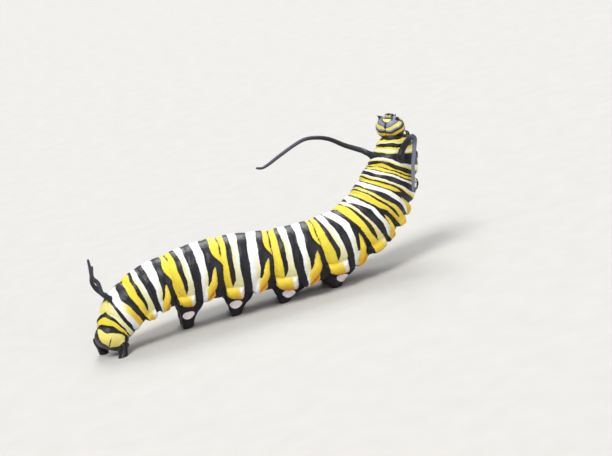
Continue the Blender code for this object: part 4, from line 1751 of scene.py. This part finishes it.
@dataclass
class Head:
    """The hard head: capsule with its arches, lips, jaws, feelers and simple eyes.

    The arches, black and grey, are stretches of angle from a pole low on the face.
    """

    axis: BodyAxis
    wide: float = 1.70
    tall: float = 1.36
    deep: float = 1.22
    ahead: float = 0.78
    pitch: float = 84.0
    turn: float = 12.0
    lean: float = -8.0
    aside: float = 0.20
    pole: float = -47.0
    degree: float = 0.024
    dark: tuple[Pair, ...] = ((19.0, 45.0), (60.0, 76.0), (90.0, 200.0))
    grey: tuple[Pair, ...] = ((25.0, 43.0), (60.5, 66.0))
    grey_run: Pair = (-1.0, 1.0)
    grey_apart: Pair = (0.02, 0.10)
    waves: Triple = (2.5, 7.0, 3.0)
    # The dark line down the middle of the face: its half width and the angle it starts at.
    # Then the wedge on it: its half width, how fast that narrows, where it is widest and
    # where it starts. Widths are parts of the head's half width
    suture: Pair = (0.022, 20.0)
    notch: tuple[float, ...] = (0.12, 0.010, 45.0, 41.0)
    gold: Pair = (0.25, 0.70)
    gold_turns: Pair = (62.0, 76.0)
    dip: Pair = (0.035, 0.07)
    dip_run: Pair = (-0.5, 0.0)
    rows: int = 110
    around: int = 160
    bud_rows: int = 20
    bud_round: int = 32
    bud_notch: float = 0.3
    # The mouth: the two lips with the strip above them, then the jaw, teeth and palps of a side
    lips: tuple[Bud, ...] = (
        Bud((0.0, -1.14, 0.62), (0.42, 0.22, 0.22), 0.8, 0.5, 1),
        Bud((0.0, -0.98, 0.76), (0.50, 0.11, 0.14), 0.8),
        Bud((0.0, -1.20, -0.14), (0.38, 0.24, 0.22), 0.9, 0.3),
    )
    jaw: Bud = Bud((0.25, -1.18, 0.34), (0.26, 0.33, 0.30), 0.8)
    tooth: Bud = Bud((0.07, -1.44, 0.20), (0.06, 0.09, 0.05), pick=2)
    tooth_steps: Triple = (0.02, 0.0, 0.09)
    teeth: int = 4
    palp: Triple = (0.52, -1.10, 0.02)
    palp_steps: Triple = (0.01, -0.15, 0.0)
    palps: tuple[Pair, ...] = ((0.20, 0.13), (0.14, 0.10), (0.09, 0.065))
    # The feelers: where each is rooted and points, and its radii along it
    feeler_root: Triple = (1.02, -0.95, 0.40)
    feeler_way: Triple = (0.45, -0.50, 0.70)
    feeler: tuple[Pair, ...] = (
        (-0.12, 0.25), (0.08, 0.23), (0.16, 0.18), (0.18, 0.14), (0.33, 0.12), (0.35, 0.08), (0.43, 0.065),
        (0.46, 0.018), (0.60, 0.006))
    feeler_rows: int = 40
    feeler_round: int = 16
    # The simple eyes: five of each cheek's six on an arc, and the last one within it
    eye: float = 0.075
    eye_sunk: float = 0.99
    eye_arc: tuple[float, float, int] = (-62.0, 17.0, 5)
    eye_low: Pair = (-34.0, 0.20)
    eye_round: Pair = (66.0, 0.24)
    last_eye: Pair = (-36.0, 70.0)
    middle: Array = field(init=False)
    face: Array = field(init=False)
    crown: Array = field(init=False)
    left: Array = field(init=False)

    def __post_init__(self) -> None:
        """Find the head's place and directions from the body's axis."""
        end = self.axis.edges[-1:]
        ahead, back, left = (row[0] for row in self.axis.axes(end))
        pitch, turn, lean = (math.radians(angle) for angle in (self.pitch, self.turn, self.lean))
        front = ahead * math.cos(pitch) + back * math.sin(pitch)
        top = back * math.cos(pitch) - ahead * math.sin(pitch)
        self.face = front * math.cos(turn) + left * math.sin(turn)
        side = left * math.cos(turn) - front * math.sin(turn)
        self.crown = top * math.cos(lean) - side * math.sin(lean)
        self.left = side * math.cos(lean) + top * math.sin(lean)
        self.middle = self.axis.centre(end)[0] + ahead * self.ahead + left * self.aside

    def place(self, aside: Array, up: Array, front: Array) -> Array:
        """Return points from amounts to the left, to the crown and to the face."""
        parts = ((aside, self.left), (up, self.crown), (front, self.face))
        return self.middle + sum(np.asarray(amount)[..., None] * way for amount, way in parts)

    def markings(self, aside: Array, up: Array, front: Array) -> dict[str, Array]:
        """Return the capsule's colour fields at places on the unit ball.

        Args:
            aside: To the left.
            up: To the crown.
            front: To the face.

        Returns:
            Distance into the black in millimetres, and how yellow and how grey it is.
        """
        pole, out = math.radians(self.pole), np.abs(aside)
        apart = np.degrees(np.arccos(np.clip(front * math.cos(pole) + up * math.sin(pole), -1.0, 1.0)))
        size, across, upward = self.waves
        apart = apart + size * np.sin(across * aside + upward * up)
        black = most(*(inside(apart, low, high) for low, high in self.dark)) * self.degree
        half, start = self.suture
        suture = np.minimum(half - out, (apart - start) * self.degree)
        half, taper, middle, start = self.notch
        notch = np.minimum(half - out - taper * np.abs(apart - middle), (apart - start) * self.degree)
        grey = smooth_step(most(*(inside(apart, low, high) for low, high in self.grey)), *self.grey_run)
        base, more = self.gold
        return {"ink": most(black, suture, notch), "gold": base + more * smooth_step(apart, *self.gold_turns),
                "grey": grey * smooth_step(out, *self.grey_apart)}

    def capsule(self, material: Material) -> Piece:
        """Make the capsule.

        Args:
            material: Its finish.

        Returns:
            The capsule.
        """
        a, b = np.linspace(0.0, np.pi, self.rows + 2)[1:-1], circle(self.around)
        up = np.repeat(-np.cos(a), self.around)
        aside, front = (np.outer(np.sin(a), wave).ravel() for wave in (np.cos(b), np.sin(b)))
        depth, half = self.dip
        lobes = 1.0 - depth * bell(aside, half) * smooth_step(up, *self.dip_run)
        points = self.place(aside * self.wide * lobes, up * self.tall * lobes, front * self.deep * lobes)
        ends, middle = np.array([-1.0, 1.0]), np.zeros(2)
        poles = self.place(middle, ends * self.tall, middle)
        form = closed_rings(list(points.reshape(self.rows, self.around, 3)), poles)
        fields = self.markings(np.append(aside, middle), np.append(up, ends), np.append(front, middle))
        return make_piece("head_capsule", form, [material], ("head",), fields)

    def bud(self, bud: Bud) -> Form:
        """Return the points and faces of a rounded form.

        Args:
            bud: Its place and sizes.

        Returns:
            Its points and faces.
        """
        rings, b = [], circle(self.bud_round)
        for angle in np.linspace(0.0, np.pi, self.bud_rows + 2)[1:-1]:
            round_by = np.sin(angle) ** bud.square
            across, deep = (powered(wave, bud.square) * round_by for wave in (np.cos(b), np.sin(b)))
            tall = -powered(np.cos(angle), bud.square)
            tall = tall + bud.notch * bell(across, self.bud_notch) * max(-tall, 0.0)
            rings.append(self.place(*(middle + amount * half for middle, amount, half
                                      in zip(bud.middle, (across, tall, deep), bud.half))))
        return closed_rings(rings)

    def joined(self, name: str, buds: list[Bud], materials: list[Material]) -> Piece:
        """Make one piece of several rounded forms.

        Args:
            name: The piece's name.
            buds: The forms.
            materials: The piece's materials.

        Returns:
            The piece.
        """
        form, owners = join_forms([self.bud(bud) for bud in buds])
        return make_piece(name, form, materials, picks=[buds[owner].pick for owner in owners])

    def mouth(self, materials: list[Material]) -> Piece:
        """Make the lips, the two toothed jaws and the small palps beside them.

        Args:
            materials: The finishes of the jaws, the upper lip and the teeth.

        Returns:
            The mouth parts.
        """
        buds = list(self.lips)
        for sign in (1.0, -1.0):
            mirror = (sign, 1.0, 1.0)
            buds.append(replace(self.jaw, middle=tuple(np.multiply(self.jaw.middle, mirror))))
            for number in range(self.teeth):
                middle = np.array(self.tooth.middle) + np.array(self.tooth_steps) * number
                buds.append(replace(self.tooth, middle=tuple(middle * mirror)))
            for number, (long, wide) in enumerate(self.palps):
                middle = np.array(self.palp) + np.array(self.palp_steps) * number
                buds.append(Bud(tuple(middle * mirror), (wide, long, wide)))
        return self.joined("mouth_parts", buds, materials)

    def feelers(self, material: Material) -> list[Piece]:
        """Make the two short antennae, each of three joints and a bristle.

        Args:
            material: Their finish.

        Returns:
            The antennae.
        """
        made, (out, up, front) = [], self.feeler_way
        stops, sizes = zip(*self.feeler)
        marks = np.linspace(stops[0], stops[-1], self.feeler_rows)
        radii = np.interp(marks, stops, sizes)
        for name, sign in (("antenna_left", 1.0), ("antenna_right", -1.0)):
            root = self.place(*np.multiply(self.feeler_root, (sign, 1.0, 1.0)))
            way = unit(self.left * out * sign + self.crown * up + self.face * front)
            form = closed_rings(sweep(root + marks[:, None] * way, radii, self.feeler_round))
            made.append(make_piece(f"{name}_joints", form, [material], (name,)))
        return made

    def eyes(self, material: Material) -> Piece:
        """Make the six simple eyes on each cheek, small clear beads.

        Args:
            material: Their finish.

        Returns:
            The eyes.
        """
        start, step, count = self.eye_arc
        (low, rise), (aside, bulge) = self.eye_low, self.eye_round
        bows = [math.radians(start + step * number) for number in range(count)]
        spots = [(math.radians(low) + rise * math.sin(bow), math.radians(aside) + bulge * math.cos(bow))
                 for bow in bows]
        spots.append(tuple(math.radians(angle) for angle in self.last_eye))
        buds = []
        for sign in (1.0, -1.0):
            for lift, turn in spots:
                ball = np.array([math.cos(lift) * math.sin(turn) * sign, math.sin(lift),
                                 math.cos(lift) * math.cos(turn)])
                middle = ball * (self.wide, self.tall, self.deep) * self.eye_sunk
                buds.append(Bud(tuple(middle), (self.eye,) * 3))
        return self.joined("simple_eyes", buds, [material])

    def build(self, shell: Material, black: Material, amber: Material, bead: Material) -> list[Piece]:
        """Make the head's pieces in the finishes of the capsule, the jaws, the teeth and the eyes."""
        return [self.capsule(shell), self.mouth([black, shell, amber]), *self.feelers(black), self.eyes(bead)]


@dataclass(frozen=True)
class Lamp:
    """A lamp far off: the way towards it, how wide it looks and how strong it is."""

    name: str
    towards: Triple
    spread: float
    strength: float


@dataclass
class Studio:
    """The pale floor, the soft lights and the camera at the photograph's angle."""

    elevation: float = 14.0
    roll: float = 15.0
    distance: float = 200.0
    frame_width: float = 64.26
    film: float = 36.0
    near: float = 1.0
    target: Triple = (5.40, -3.57, 7.54)
    floor_half: float = 3000.0
    # Paper fibres are finer than this and are drawn coarser, so that they show
    fibre: float = 3.0
    paper: tuple[str, str] = ("#BAB7B1", "#C4C1BB")
    sky: tuple[str, str] = ("#6E737C", "#EAF0FA")
    sky_strength: float = 0.85
    lamps: tuple[Lamp, ...] = (
        Lamp("key", (-65.0, -76.0, 212.0), 28.0, 2.18),
        Lamp("fill", (115.0, -186.0, 72.0), 44.0, 0.92),
        Lamp("rim", (15.0, 154.0, 162.0), 32.0, 1.74),
    )

    def camera(self) -> None:
        """Make the camera."""
        lift, lean = math.radians(self.elevation), math.radians(self.roll)
        view = Vector((0.0, math.cos(lift), -math.sin(lift)))
        side = view.cross(Vector((0.0, 0.0, 1.0))).normalized()
        up = side.cross(view)
        right = side * math.cos(lean) - up * math.sin(lean)
        top = side * math.sin(lean) + up * math.cos(lean)
        data = bpy.data.cameras.new("camera")
        data.sensor_width = self.film
        data.lens = self.film * self.distance / self.frame_width
        data.clip_start = self.near * MM
        made = bpy.data.objects.new("camera", data)
        made.matrix_world = Matrix((right, top, -view)).transposed().to_4x4()
        made.matrix_world.translation = (Vector(self.target) - view * self.distance) * MM
        bpy.context.scene.collection.objects.link(made)
        bpy.context.scene.camera = made

    def floor(self) -> None:
        """Make the floor, a seamless sheet of matt studio paper."""
        made, tree, shader, place = new_material("studio_paper_matt")
        fibre = add_node(tree, "ShaderNodeTexNoise", {"Scale": per_mm(self.fibre), "Detail": 4.0},
                         {"Vector": place})
        ramp = add_node(tree, "ShaderNodeValToRGB", links={"Fac": fibre.outputs["Fac"]})
        set_ramp(ramp, *map(linear, self.paper))
        settle(shader, {"Roughness": 0.85}, {"Base Color": ramp.outputs[0]})
        mesh = bpy.data.meshes.new("floor")
        half = self.floor_half * MM
        corners = [(-half, -half, 0.0), (half, -half, 0.0), (half, half, 0.0), (-half, half, 0.0)]
        mesh.from_pydata(corners, [], [(0, 1, 2, 3)])
        mesh.materials.append(made)
        sheet = bpy.data.objects.new("floor", mesh)
        bpy.context.scene.collection.objects.link(sheet)

    def lights(self) -> None:
        """Make the surround and the lamps, far off so that they light the floor evenly."""
        world = bpy.data.worlds.new("studio")
        world.use_nodes = True
        tree = world.node_tree
        place = add_node(tree, "ShaderNodeTexCoord").outputs["Generated"]
        height = add_node(tree, "ShaderNodeSeparateXYZ", links={"Vector": place}).outputs["Z"]
        sky = add_node(tree, "ShaderNodeValToRGB", links={"Fac": height})
        set_ramp(sky, *map(linear, self.sky))
        settle(tree.nodes["Background"], {"Strength": self.sky_strength}, {"Color": sky.outputs[0]})
        bpy.context.scene.world = world
        bpy.context.scene.view_settings.view_transform = "Standard"
        for lamp in self.lamps:
            data = bpy.data.lights.new(lamp.name, "SUN")
            data.angle = math.radians(lamp.spread)
            data.energy = lamp.strength
            made = bpy.data.objects.new(lamp.name, data)
            made.location = Vector(lamp.towards) * MM
            made.rotation_euler = Vector(lamp.towards).to_track_quat("Z", "Y").to_euler()
            bpy.context.scene.collection.objects.link(made)

    def build(self) -> None:
        """Make the whole studio."""
        self.camera()
        self.floor()
        self.lights()


def main() -> None:
    """Build every piece in order."""
    logging.basicConfig(level=logging.INFO, format="%(message)s")
    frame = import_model()
    body = next(iter(frame["bodies"]))
    axis = BodyAxis()
    Studio().build()
    black = Shell("leg_cuticle_hardened", "#121114", 0.30).make()
    amber = Shell("claw_cuticle_amber", "#5A2E12", 0.25).make()
    bead = Shell("eye_cuticle_clear", "#0B0A0C", 0.08).make()
    pieces = [Skin(axis, all_feet(axis)).build(Cuticle().make())]
    pieces += Horns(axis).build(HornSkin().make())
    pieces += Legs(axis).build([black, amber])
    pieces += Head(axis).build(HeadShell().make(), black, amber, bead)
    for piece in pieces:
        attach(piece, body)


if __name__ == "__main__":
    main()
